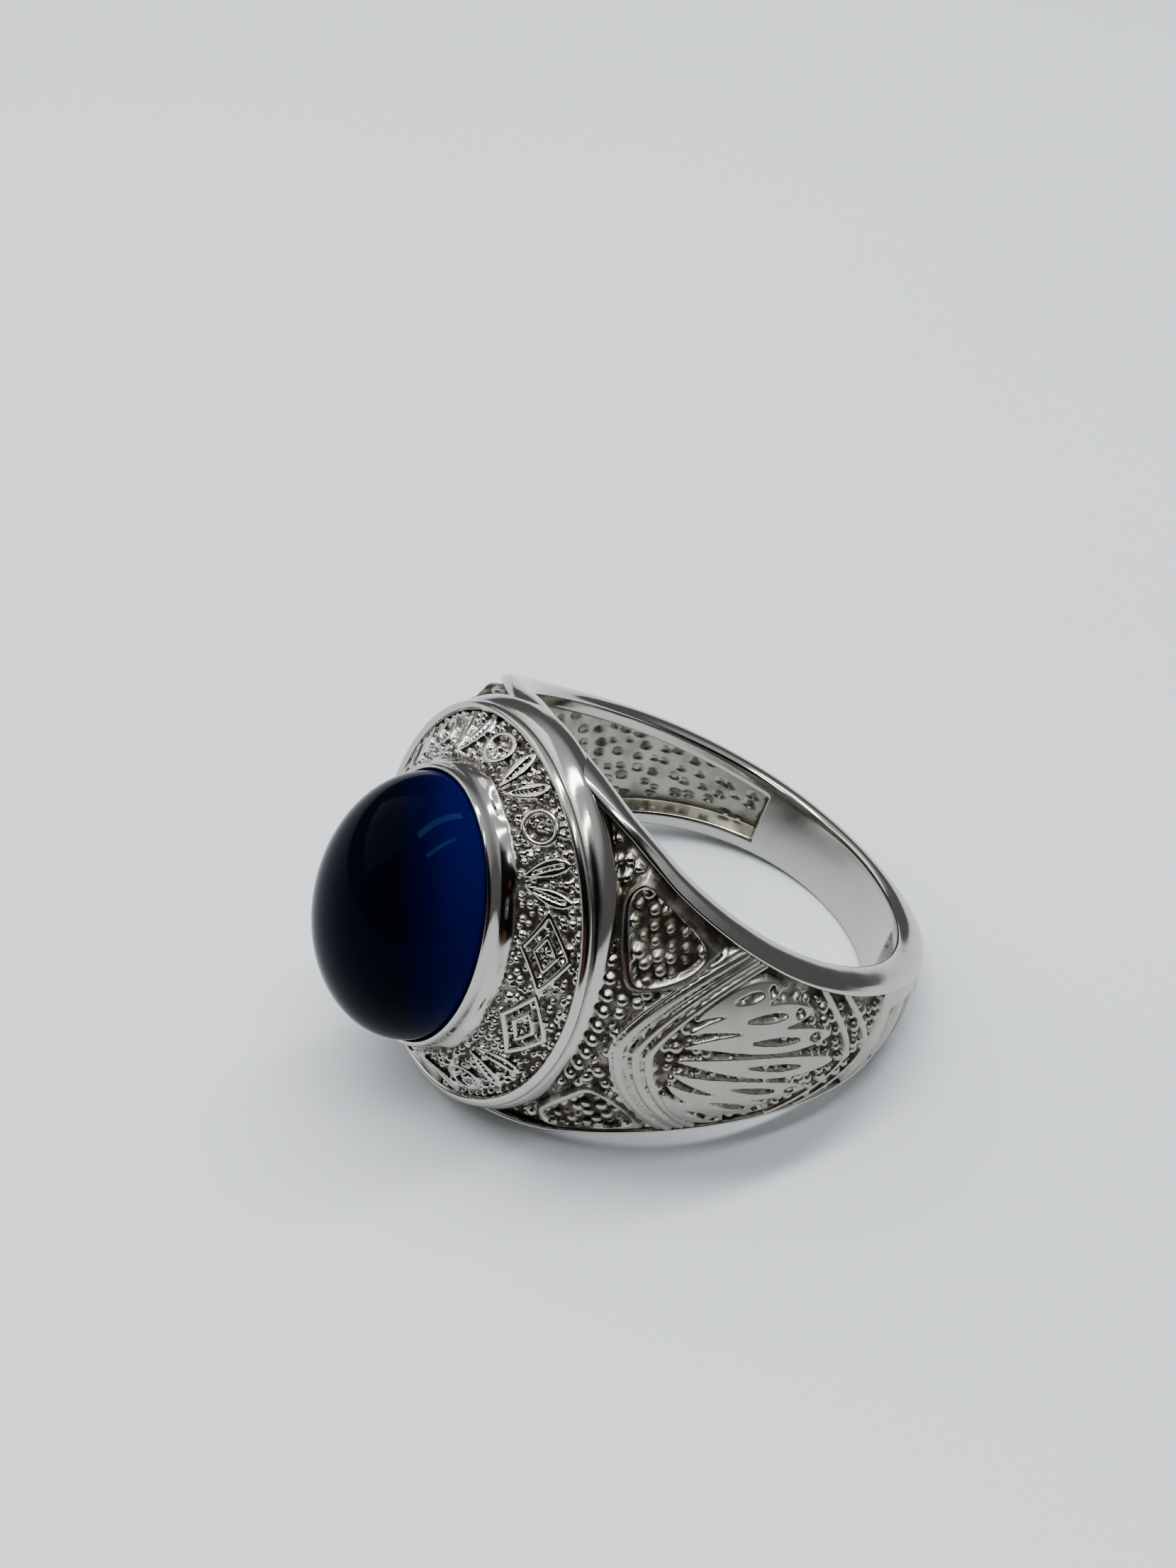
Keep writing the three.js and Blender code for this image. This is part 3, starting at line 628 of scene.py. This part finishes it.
class RING_OT_finger_band(bpy.types.Operator):
    """Models the inside, the side faces and the rails of the casting"""

    bl_idname = "ring.finger_band"
    bl_label = "Finger band"

    def execute(self, context):
        sizes = context.scene.ring_sizes
        turn = (np.arange(sizes.band_stations) * 360.0 / sizes.band_stations)[:, None]
        radius, z, dark = band_section(turn, 1, sizes)
        low_radius, low_z, low_dark = band_section(turn, -1, sizes)
        radius = np.hstack([radius, under_plate(turn, 0), low_radius[:, :0:-1]])
        z = np.hstack([z, np.zeros(turn.shape), low_z[:, :0:-1]])
        dark = np.hstack([dark, np.full(turn.shape, HIDDEN_TARNISH), low_dark[:, :0:-1]])
        piece = closed_band("finger_band", round_finger(radius, turn, z), dark)
        dressed(piece, silver_material(sizes))
        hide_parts("ring_body")
        return {"FINISHED"}


# The shoulders

# The shoulder's pattern is laid out flat at this radius
ARC_RADIUS = 11.8
GROOVE_WIDTH = 0.4
BRIGHT_HEIGHT = 0.17
# Stations of a plate, finer where the relief is, and points across it
RELIEF_TURNS = np.linspace(9, 108, 344)
BACK_TURNS = np.linspace(108, 180, 140)
PLATE_POINTS = 173
PLATE_UNDER_POINTS = 10
PLATE_LAP = 0.05
BAR_START_TURN = 105
GRAIN_RADIUS_SHARE = 0.4
GRAIN_UNEVENNESS = 0.45
# Painted shade: the shoulders' silver is darkened from the first of these turns to the second and beyond,
# so that it mirrors the bright floor more dimly
SHOULDER_PAINTED_SHADE = 0.42
SHOULDER_PAINTED_SHADE_TURNS = (36, 50)
# Painted reflection: how dark the frames' outer edge is painted, as though the bar mirrored something dark
FRAME_EDGE_PAINTED_REFLECTION = 0.95


def flat(path):
    """(turn, share) rows as millimetres along and across the unrolled shoulder."""
    path = np.asarray(path, float)
    return np.column_stack([np.radians(path[:, 0]) * ARC_RADIUS, path[:, 1] * rail_half(path[:, 0])])


def arch(apex, foot):
    across = np.linspace(0, 1, 22)
    return flat(np.column_stack([apex + (foot - apex) * across ** ARCH_POWER, ARCH_FOOT_SHARE * across]))


def leaf_taper(t):
    return 0.25 + 0.75 * np.sin(math.pi * np.clip(t, 0, 1) ** 1.3) ** 0.7


def ribbon_relief(u, v):
    """A broad ribbon with a groove near each edge."""
    gap, _ = along_path(arch(RIBBON["apex"], RIBBON["foot"]), u, v)
    groove = 1 - 0.35 * ease(0.06 - np.abs(gap - 0.2), 0, 0.05)
    return np.sqrt(np.clip(1 - (gap / RIBBON["half"]) ** 4, 0, 1)) * groove


def petal_relief(u, v, tip_turn, tip_share, root_share):
    """A flat petal with a slit along it and, off the middle, a drop near its tip."""
    t = np.linspace(0, 1, 14)
    path = flat(np.column_stack([PALMETTE_ROOT + (tip_turn - PALMETTE_ROOT) * t,
                                 root_share + (tip_share - root_share) * t ** 0.8]))
    gap, share = along_path(path, u, v)
    edge = PETAL_HALF_WIDTH * leaf_taper(share) - gap
    in_slit = (share > SLIT_START) * (share < SLIT_END)
    half = SLIT_HALF_WIDTH * leaf_taper((share - SLIT_START) / (SLIT_END - SLIT_START)) * in_slit
    slit = plateau(half - gap, 0.08)
    drop = plateau(DROP_HALF_WIDTH - np.hypot((share - DROP_PLACE) * 5, gap), 0.08) * (tip_share > 0)
    return plateau(edge, 0.1) * (1 - 0.85 * np.maximum(slit, drop))


def slotted_bar(u, v, turn):
    """The smooth back of the shank, with a row of slots across it."""
    bar = ease(turn, BAR_START_TURN - 0.5, BAR_START_TURN + 0.5)
    for slot_turn in SLOT_TURNS:
        centre = np.radians(slot_turn) * ARC_RADIUS
        half_length = SLOT_WIDTH_SHARE * rail_half(np.array(slot_turn))
        inside = np.minimum(SLOT_HALF_WIDTH - np.abs(u - centre), half_length - v)
        bar = bar * (1 - 0.95 * plateau(inside, RELIEF_BEVEL))
    return bar


def shoulder_relief(u, v, turn):
    """Height of the relief above the ground, over GROUND_DEPTH, where v is the distance from the middle."""
    rim = np.minimum(depth_inside(smoothed(flat(FRAME_OUTER)), u, v),
                     -depth_inside(smoothed(flat(FRAME_INNER)), u, v))
    raised = np.maximum(0, plateau(rim, RELIEF_BEVEL) * (1 + 0.08 * ease(rim, 0, 0.3)))
    raised = np.maximum(raised, ribbon_relief(u, v))
    for line in LINES:
        gap, _ = along_path(arch(line["apex"], line["foot"]), u, v)
        raised = np.maximum(raised, rounded(gap, line["half"]) * 0.98)
    for petal in PETALS:
        raised = np.maximum(raised, petal_relief(u, v, *petal))
    return np.maximum(raised, slotted_bar(u, v, turn))


def bead_path():
    path = np.asarray(BEAD_ROW, float)
    return np.column_stack([np.radians(path[:, 0]) * ARC_RADIUS, path[:, 1]])


def bead_distance(u, v):
    """Distance from the row of beads."""
    return along_path(bead_path(), u, v)[0]


def bead_row(u, v, radius):
    path = bead_path()
    steps = np.concatenate([[0], np.cumsum(np.hypot(*np.diff(path, axis=0).T))])
    stops = np.arange(BEAD_PITCH / 2, steps[-1], BEAD_PITCH)
    height = np.zeros(u.shape)
    for x, y in zip(np.interp(stops, steps, path[:, 0]), np.interp(stops, steps, path[:, 1])):
        height = np.maximum(height, np.sqrt(np.clip(radius ** 2 - (u - x) ** 2 - (v - y) ** 2, 0, None)))
    return height


def shoulder_ground(u, v, z, edge, side, sizes):
    """Height of the grains and beads between the raised parts."""
    radius = sizes.grain_pitch * GRAIN_RADIUS_SHARE
    ground = grains(u * side + 50, z + 30, sizes.grain_pitch, radius, GRAIN_UNEVENNESS)
    ground = ground * ease(edge - v, GROOVE_WIDTH - 0.08, GROOVE_WIDTH + 0.08)
    beads = bead_row(u, v, sizes.bead_radius)
    return np.maximum(ground * (bead_distance(u, v) > sizes.bead_radius + 0.06), beads)


def shoulder_oxide_and_painted_shade(u, v, turn, height):
    """Dark where the plate is low, as oxide in the hollows. Painted reflection darkens the grains in the
    frames and the frames' outer edge, and painted shade darkens the shoulders away from the head.
    """
    dark = 1 - ease(height, 0.01, BRIGHT_HEIGHT)
    # Painted shade: the shoulders darken away from the head
    dark = np.maximum(dark, SHOULDER_PAINTED_SHADE * ease(turn, *SHOULDER_PAINTED_SHADE_TURNS))
    bar = depth_inside(smoothed(flat(FRAME_OUTER)), u, v)
    # Painted reflection: a dark band along the frames' outer edge
    dark = np.maximum(dark, FRAME_EDGE_PAINTED_REFLECTION * ease(bar, -0.04, 0.04) * (1 - ease(bar, 0.2, 0.28)))
    # Painted reflection: inside the frames the grains are darkened as well as the ground, as though they
    # mirrored something dark
    framed_painted_reflection = ease(depth_inside(smoothed(flat(FRAME_INNER)), u, v), 0, 0.1)
    return np.maximum(dark, framed_painted_reflection * (1 - 0.7 * ease(height, 0.14, 0.28)))


def shoulder_places(side, sizes):
    """Sections of one shoulder's plate, from under the head to the middle of the back, with oxide in the
    hollows and painted shade and reflections.
    """
    turn = np.concatenate([RELIEF_TURNS, BACK_TURNS[1:]])[:, None]
    edge = rail_half(turn) - RAIL_WIDTH + PLATE_LAP
    z = np.linspace(-1, 1, PLATE_POINTS)[None, :] * edge
    u, v = np.broadcast_arrays(np.radians(turn) * ARC_RADIUS, np.abs(z))
    relief = shoulder_relief(u, v, np.broadcast_to(turn, u.shape))
    ground = np.minimum(shoulder_ground(u, v, z, edge, side, sizes), GROUND_DEPTH)
    low = np.where(turn > BAR_START_TURN, 0.06, 0.0)
    ground = ground * (1 - ease(turn, BAR_START_TURN - 1, BAR_START_TURN + 1)) + low
    height = np.maximum(relief * GROUND_DEPTH, ground)
    beside_rail = ease(edge - v, 0.0, 0.16)
    joins = ease(relief, 0.5, 0.9)
    height = height * (beside_rail + (1 - beside_rail) * joins)
    top = round_finger(surface_radius(turn, z) - GROUND_DEPTH + height, side * turn, z)
    under_z = np.linspace(1, -1, PLATE_UNDER_POINTS)[None, :] * edge
    under = round_finger(np.full(under_z.shape, CORE_RADIUS - 0.04), side * turn, under_z)
    dark = shoulder_oxide_and_painted_shade(u, v, turn, height)
    return (np.concatenate([top, under], axis=1),
            np.concatenate([dark, np.full(under_z.shape, HIDDEN_TARNISH)], axis=1))


class RING_OT_shoulders(bpy.types.Operator):
    """Models the relief of the two shoulders, with its frames, ribbons, petals, beads and grains"""

    bl_idname = "ring.shoulders"
    bl_label = "Shoulders"

    def execute(self, context):
        sizes = context.scene.ring_sizes
        for name, side in (("shoulder_right", 1), ("shoulder_left", -1)):
            piece = capped_band(name, *shoulder_places(side, sizes))
            dressed(piece, silver_material(sizes))
            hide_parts("ring_body")
        return {"FINISHED"}


# The head: gallery, rim, panel and bezel

PANEL_STEPS = 52
HEAD_COLUMNS = 820
GRAIN_FOOT = 0.13
PANEL_GRAIN_SHARE = 0.42
PANEL_GRAIN_UNEVENNESS = 0.6
# Degrees round the oval within which a motif can lie
MOTIF_REACH = 20
# Waves of the solder line at the bezel's foot: height, number round the oval, and start
FOOT_WAVES = [(0.07, 9, 1.3), (0.05, 17, 0.4)]
# Rings under the head: half width and half length
HEAD_UNDER = [(2.0, 2.6), (5.5, 6.2), (8.1, 8.2)]


def head_profile():
    """Knots of the head's profile: half width, half length, height, sag, and points to the next knot."""
    rim, foot, lip = RIM, FOOT, LIP
    band = rim["band"]

    def on_rim(inset, rise):
        return rim["w"] - inset, rim["l"] - inset, rim["h"] + rise, rim["sag"]

    wire_foot = rim["h"] - rim["wire"]

    def on_flank(height, bulge, sag):
        return (rim["w"], lerp(HEAD_EDGE_HALF_WIDTH, rim["l"], height) + FLANK_BULGE * bulge,
                lerp(BORE_RADIUS, wire_foot, height), rim["sag"] * sag)

    seat = lip["h"] - STONE["girdle"] - 0.1
    return [
        (*on_flank(0.02, 0.08, 0), 2),
        (*on_flank(0.08, 0.4, 0.1), 2),
        (*on_flank(0.17, 0.68, 0.2), 2),
        (*on_flank(0.28, 0.85, 0.3), 2),
        (*on_flank(0.45, 0.95, 0.5), 2),
        (*on_flank(0.6, 1.0, 0.7), 2),
        (*on_flank(0.75, 0.85, 0.85), 2),
        (*on_flank(0.88, 0.55, 1), 2),
        (*on_flank(0.97, 0.2, 1), 1),
        (*on_rim(rim["groove"], rim["groove"] - rim["wire"]), 1),
        (*on_rim(0.03, -0.3), 1),
        (*on_rim(-0.01, -0.22), 1),
        (*on_rim(0.0, -0.1), 2),
        (*on_rim(0.06, 0.02), 2),
        (*on_rim(0.15, 0.09), 1),
        (*on_rim(0.25, 0.09), 2),
        (*on_rim(0.35, 0.03), 2),
        (*on_rim(0.42, -0.06), 2),
        (*on_rim(band, -PANEL_RELIEF), PANEL_STEPS),
        (foot["w"], foot["l"], foot["h"] - PANEL_RELIEF, 0, 2),
        (foot["w"] - 0.05, foot["l"] - 0.05, foot["h"] - 0.12, 0, 3),
        (lip["w"] + 0.06, lip["l"] + 0.07, lip["flange"] - 0.08, 0, 2),
        (lip["w"] + 0.02, lip["l"] + 0.02, lip["flange"] + 0.02, 0, 3),
        (lip["w"] + 0.01, lip["l"] + 0.01, lip["h"] - 0.14, 0, 2),
        (lip["w"] - 0.02, lip["l"] - 0.02, lip["h"] - 0.04, 0, 2),
        (lip["w"] - 0.07, lip["l"] - 0.07, lip["h"], 0, 2),
        (STONE["w"] + 0.07, STONE["l"] + 0.07, lip["h"] - 0.01, 0, 1),
        (STONE["w"] + 0.03, STONE["l"] + 0.03, lip["h"] - 0.06, 0, 2),
        (STONE["w"] + 0.03, STONE["l"] + 0.03, seat, 0, 1),
        (STONE["w"] * 0.3, STONE["l"] * 0.3, seat, 0, 1),
    ]


def lozenge(u, v):
    """Two outlines, one in the other, round a small peak."""
    size = np.abs(u) / LOZENGE_HALF_ALONG + np.abs(v) / LOZENGE_HALF_ACROSS
    slope = 0.88
    shape = plateau(0.17 - np.abs(size - 0.98) * slope, 0.08)
    shape = np.maximum(shape, plateau(0.15 - np.abs(size - 0.45) * slope, 0.08))
    return np.maximum(shape, plateau(0.1 - size * slope, 0.06))


def annulet(u, v):
    """A small ring round a boss."""
    gap = np.hypot(u, v)
    return np.maximum(plateau(0.18 - np.abs(gap - ANNULET_RADIUS), 0.1), plateau(0.25 - gap, 0.16))


def leaf_pair(u, v):
    """Two leaves that lean apart, with a bud between their tips."""
    shape = plateau(0.22 - np.hypot(u, v - 0.72), 0.12)
    t = np.linspace(0, 1, 12)
    for side in (1, -1):
        lean = side * (0.2 + 0.5 * np.sin(math.pi / 2 * t))
        path = np.column_stack([lean, MOTIF_HALF_LENGTH * (2 * t - 1)])
        gap, share = along_path(path, u, v)
        blade = LEAF_HALF_WIDTH * leaf_taper(share) - gap
        vein = plateau(0.06 * (share > 0.2) * (share < 0.85) - gap + 0.01, 0.05)
        shape = np.maximum(shape, plateau(blade, 0.1) * (1 - 0.5 * vein))
    return shape


def panel_motifs():
    """Each motif's angle round the oval, and its shape."""
    motifs = [(angle, lozenge) for angle in LOZENGE_ANGLES]
    for start in FIRST_MOTIF_ANGLES:
        for i in range(MOTIFS_PER_ARC):
            motifs.append((start + i * MOTIF_PITCH, annulet if i % 2 else leaf_pair))
    return motifs


def panel_relief(angle, share, along_scale, width):
    """Height of the motifs over PANEL_RELIEF, by angle round the oval and share from rim to bezel."""
    raised = np.zeros(angle.shape)
    for centre, motif in panel_motifs():
        offset = (angle - centre + 180) % 360 - 180
        near = np.abs(offset) < MOTIF_REACH
        u = (offset * along_scale)[near]
        v = ((0.5 - share) * width)[near]
        raised[near] = np.maximum(raised[near], motif(u, v))
    return raised


def oval_places(angle, w, l, h, sag):
    """Places on an oval ring of half width w and half length l, h out from the finger's axis."""
    across, along = np.sin(np.radians(angle)), np.cos(np.radians(angle))
    return np.stack(np.broadcast_arrays(w * across, sag * across ** 2 - h, l * along), axis=-1)


def head_columns():
    """Points of the head's profile, and each one's share of the way across the panel, or -1 off it."""
    knots = head_profile()
    columns, shares = [], []
    for here, following in zip(knots, knots[1:]):
        steps = here[4]
        for i in range(steps):
            t = i / steps
            columns.append([lerp(here[k], following[k], t) for k in range(4)])
            shares.append(t if steps == PANEL_STEPS else -1.0)
    columns.append(list(knots[-1][:4]))
    shares.append(-1.0)
    return np.array(columns), np.array(shares)


def head_surface(angle, profile):
    """The head's places before its relief, with an uneven solder line at the bezel's foot."""
    w, l, h, sag = (profile[None, :, k] for k in range(4))
    wavy = sum(height * np.sin(np.radians(angle) * count + start) for height, count, start in FOOT_WAVES)
    at_foot = (h > FOOT["h"] - PANEL_RELIEF - 0.02) & (h < FOOT["h"]) & (w < FOOT["w"] + 0.05)
    return oval_places(angle, w + wavy * at_foot, l + wavy * at_foot, h, sag)


def steps_and_normals(places):
    """Steps round the oval, over two columns, and directions out of the surface."""
    step = np.roll(places, -1, 0) - np.roll(places, 1, 0)
    normal = np.cross(step, np.gradient(places, axis=1))
    normal /= np.linalg.norm(normal, axis=-1, keepdims=True)
    return step, normal * np.sign(-normal[..., 1:2])


def head_under(angle):
    """Rings that close the head on its inside, on the casting's core."""
    rings = [oval_places(angle, w, l, 0, 0) for w, l in HEAD_UNDER]
    for ring in rings:
        ring[..., 1] = -np.sqrt((CORE_RADIUS - 0.02) ** 2 - ring[..., 0] ** 2)
    return rings


def head_places(sizes):
    """Sections of the head, one at each angle round the oval, with tarnish."""
    profile, share = head_columns()
    angle = (np.arange(HEAD_COLUMNS) * 360.0 / HEAD_COLUMNS)[:, None]
    places = head_surface(angle, profile)
    step, normal = steps_and_normals(places)
    first = int(np.argmax(share >= 0))
    last = first + PANEL_STEPS
    panel = slice(first, last)
    stride = np.linalg.norm(step[:, (first + last) // 2], axis=-1)[:, None]
    width = np.linalg.norm(places[:, last] - places[:, first], axis=-1)[:, None]
    on, shares, scale, wide = np.broadcast_arrays(
        angle, share[None, panel], stride / (2 * 360 / HEAD_COLUMNS), width)
    motifs = panel_relief(on, shares, scale, wide)
    pitch = sizes.panel_grain_pitch
    arc = np.cumsum(stride, axis=0) / 2
    ground = grains(arc, shares * width + 20, pitch, pitch * PANEL_GRAIN_SHARE, PANEL_GRAIN_UNEVENNESS)
    edge = ease(shares, 0.0, 0.05) * (1 - ease(shares, 0.95, 1.0))
    height = np.maximum(motifs * PANEL_RELIEF, ground * edge)
    places[:, panel] += normal[:, panel] * height[..., None]
    dark = np.zeros(places.shape[:2])
    dark[:, panel] = 1 - ease(height, 0.01, GRAIN_FOOT)
    dark[:, last] = HIDDEN_TARNISH
    groove = np.abs(profile[None, :, 2] - (RIM["h"] + RIM["groove"] - RIM["wire"])) < 0.03
    dark = np.maximum(dark, 0.6 * groove)
    places = np.concatenate([places, *head_under(angle)], axis=1)
    dark = np.concatenate([dark, np.full((HEAD_COLUMNS, len(HEAD_UNDER)), 0.5)], axis=1)
    return places, dark


class RING_OT_head(bpy.types.Operator):
    """Models the head: its gallery, rim, panel with motifs and smooth bezel"""

    bl_idname = "ring.head"
    bl_label = "Head"

    def execute(self, context):
        sizes = context.scene.ring_sizes
        piece = closed_band("head", *head_places(sizes))
        dressed(piece, silver_material(sizes))
        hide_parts("ring_body")
        return {"FINISHED"}


# The stone

STONE_COLUMNS = 160
STONE_RISES = np.radians(np.linspace(0, 87.5, 50))


def stone_rings():
    """Share of the oval and height over the girdle's top, from the flat base to the top of the dome."""
    base = -STONE["girdle"]
    rings = [(0.35, base), (0.7, base), (0.96, base), (0.995, base + 0.04), (1.0, base + 0.12)]
    rings += [(1.0, -0.6), (1.0, -0.2)]
    rings += [(math.cos(rise), STONE["dome"] * math.sin(rise)) for rise in STONE_RISES]
    return rings


class RING_OT_stone(bpy.types.Operator):
    """Models the oval cabochon"""

    bl_idname = "ring.stone"
    bl_label = "Stone"

    def execute(self, context):
        sizes = context.scene.ring_sizes
        angle = np.arange(STONE_COLUMNS) * 360.0 / STONE_COLUMNS
        places = np.stack([oval_places(angle, STONE["w"] * size, STONE["l"] * size, STONE["h"] + rise, 0)
                           for size, rise in stone_rings()])
        piece = capped_band("stone", places, np.zeros(places.shape[:2]))
        dressed(piece, stone_material(sizes))
        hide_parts("cabochon")
        return {"FINISHED"}


# Floor, light and camera

CAMERA_PLACE = (0.0602264, -0.0358868, 0.0719441)
CAMERA_RIGHT = (0.473247, 0.880539, 0.026220)
CAMERA_UP = (-0.579275, 0.288633, 0.762319)
CAMERA_BACK = (0.663684, -0.375955, 0.646669)
CAMERA_LENS = 49.893
SENSOR_WIDTH = 36.0
FLOOR_SIZE = 1.6

# The room's colour by height, and its strength
ROOM_COLOURS = [
    (0.0, (0.15, 0.15, 0.155)),
    (0.46, (0.19, 0.19, 0.2)),
    (0.74, (0.7, 0.74, 0.78)),
    (1.0, (0.82, 0.86, 0.9)),
]
ROOM_STRENGTH = 0.9

# Places and sizes in metres, power in watts
LAMPS = [
    {"name": "long_lamp", "place": (-0.05, 0.03, 0.4), "target": (-0.05, 0.03, 0),
     "size": (0.05, 0.45), "power": 1.7, "colour": (0.95, 0.98, 1)},
    {"name": "short_lamp", "place": (0.12, -0.06, 0.4), "target": (0.12, -0.06, 0),
     "size": (0.03, 0.3), "power": 0.7, "colour": (0.95, 0.98, 1)},
    {"name": "window", "place": (-0.3, -0.25, 0.3), "target": (0, 0, 0.005),
     "size": (0.5, 0.42), "power": 1.1, "colour": (0.97, 0.98, 1)},
]
# Dark things that the silver mirrors: way to each, colour, and cosines of its inner and outer edge
DARK_SIDES = [
    ((0.8, -0.42, 0.42), (0.006, 0.006, 0.007), 0.78, 0.64),
    ((0.0, -0.89, 0.45), (0.006, 0.006, 0.007), 0.975, 0.93),
    ((0.73, -0.66, 0.16), (0.14, 0.05, 0.025), 0.97, 0.94),
]


def shaded_side(nodes, links, direction, sky, towards, colour, inner, outer):
    """The sky's colour with a soft-edged dark patch in one direction."""
    facing = nodes.new("ShaderNodeVectorMath")
    facing.operation = "DOT_PRODUCT"
    links.new(direction, facing.inputs[0])
    facing.inputs[1].default_value = Vector(towards).normalized()
    amount = nodes.new("ShaderNodeMapRange")
    amount.inputs["From Min"].default_value = outer
    amount.inputs["From Max"].default_value = inner
    links.new(facing.outputs["Value"], amount.inputs["Value"])
    mix = nodes.new("ShaderNodeMix")
    mix.data_type = "RGBA"
    links.new(amount.outputs[0], mix.inputs[0])
    links.new(sky, mix.inputs[6])
    mix.inputs[7].default_value = (*colour, 1)
    return mix.outputs[2]


def area_light(name, place, target, size, power, colour):
    clear_selection()
    bpy.ops.object.light_add(type="AREA", location=place)
    lamp = bpy.context.object
    lamp.name = name
    lamp.data.shape = "RECTANGLE"
    lamp.data.size, lamp.data.size_y = size
    lamp.data.energy = power
    lamp.data.color = colour
    lamp.rotation_euler = (Vector(target) - Vector(place)).to_track_quat("-Z", "Y").to_euler()
    return lamp


class RING_OT_stage(bpy.types.Operator):
    """Adds the pale floor, the soft light and the camera"""

    bl_idname = "ring.stage"
    bl_label = "Stage"

    def execute(self, context):
        sizes = context.scene.ring_sizes
        clear_selection()
        bpy.ops.mesh.primitive_plane_add(size=FLOOR_SIZE, location=(0, 0, 0))
        floor = bpy.context.object
        floor.name = "floor"
        floor.data.materials.append(floor_material(sizes))
        world = bpy.data.worlds.new("soft_room")
        context.scene.world = world
        world.use_nodes = True
        nodes, links = world.node_tree.nodes, world.node_tree.links
        nodes.clear()
        out = nodes.new("ShaderNodeOutputWorld")
        room = nodes.new("ShaderNodeBackground")
        links.new(room.outputs[0], out.inputs[0])
        where = nodes.new("ShaderNodeTexCoord")
        split = nodes.new("ShaderNodeSeparateXYZ")
        links.new(where.outputs["Generated"], split.inputs[0])
        sky = ramp(nodes, links, split.outputs["Z"], ROOM_COLOURS)
        for towards, colour, inner, outer in DARK_SIDES:
            sky = shaded_side(nodes, links, where.outputs["Generated"], sky, towards, colour, inner, outer)
        links.new(sky, room.inputs[0])
        room.inputs[1].default_value = ROOM_STRENGTH
        for lamp in LAMPS:
            area_light(**lamp)
        camera_data = bpy.data.cameras.new("camera")
        camera = bpy.data.objects.new("camera", camera_data)
        context.scene.collection.objects.link(camera)
        turn = Matrix((CAMERA_RIGHT, CAMERA_UP, CAMERA_BACK)).transposed().to_4x4()
        camera.matrix_world = Matrix.Translation(CAMERA_PLACE) @ turn
        camera_data.lens = CAMERA_LENS
        camera_data.sensor_width = SENSOR_WIDTH
        camera_data.clip_start, camera_data.clip_end = 0.001, 10
        context.scene.camera = camera
        context.scene.view_settings.view_transform = "AgX"
        return {"FINISHED"}


class RING_PT_panel(bpy.types.Panel):
    bl_idname = "RING_PT_panel"
    bl_label = "Class ring"
    bl_space_type = "VIEW_3D"
    bl_region_type = "UI"
    bl_category = "Ring"

    def draw(self, context):
        for name in RingSizes.__annotations__:
            self.layout.prop(context.scene.ring_sizes, name)
        for operator in OPERATORS:
            self.layout.operator(operator.bl_idname)


OPERATORS = (RING_OT_finger_band, RING_OT_shoulders, RING_OT_head, RING_OT_stone, RING_OT_stage)
CLASSES = (RingSizes, *OPERATORS, RING_PT_panel)


def register():
    for cls in CLASSES:
        bpy.utils.register_class(cls)
    bpy.types.Scene.ring_sizes = bpy.props.PointerProperty(type=RingSizes)


def unregister():
    del bpy.types.Scene.ring_sizes
    for cls in reversed(CLASSES):
        bpy.utils.unregister_class(cls)


def main():
    register()
    bpy.ops.ring.finger_band()
    bpy.ops.ring.shoulders()
    bpy.ops.ring.head()
    bpy.ops.ring.stone()
    bpy.ops.ring.stage()


if __name__ == "__main__":
    main()
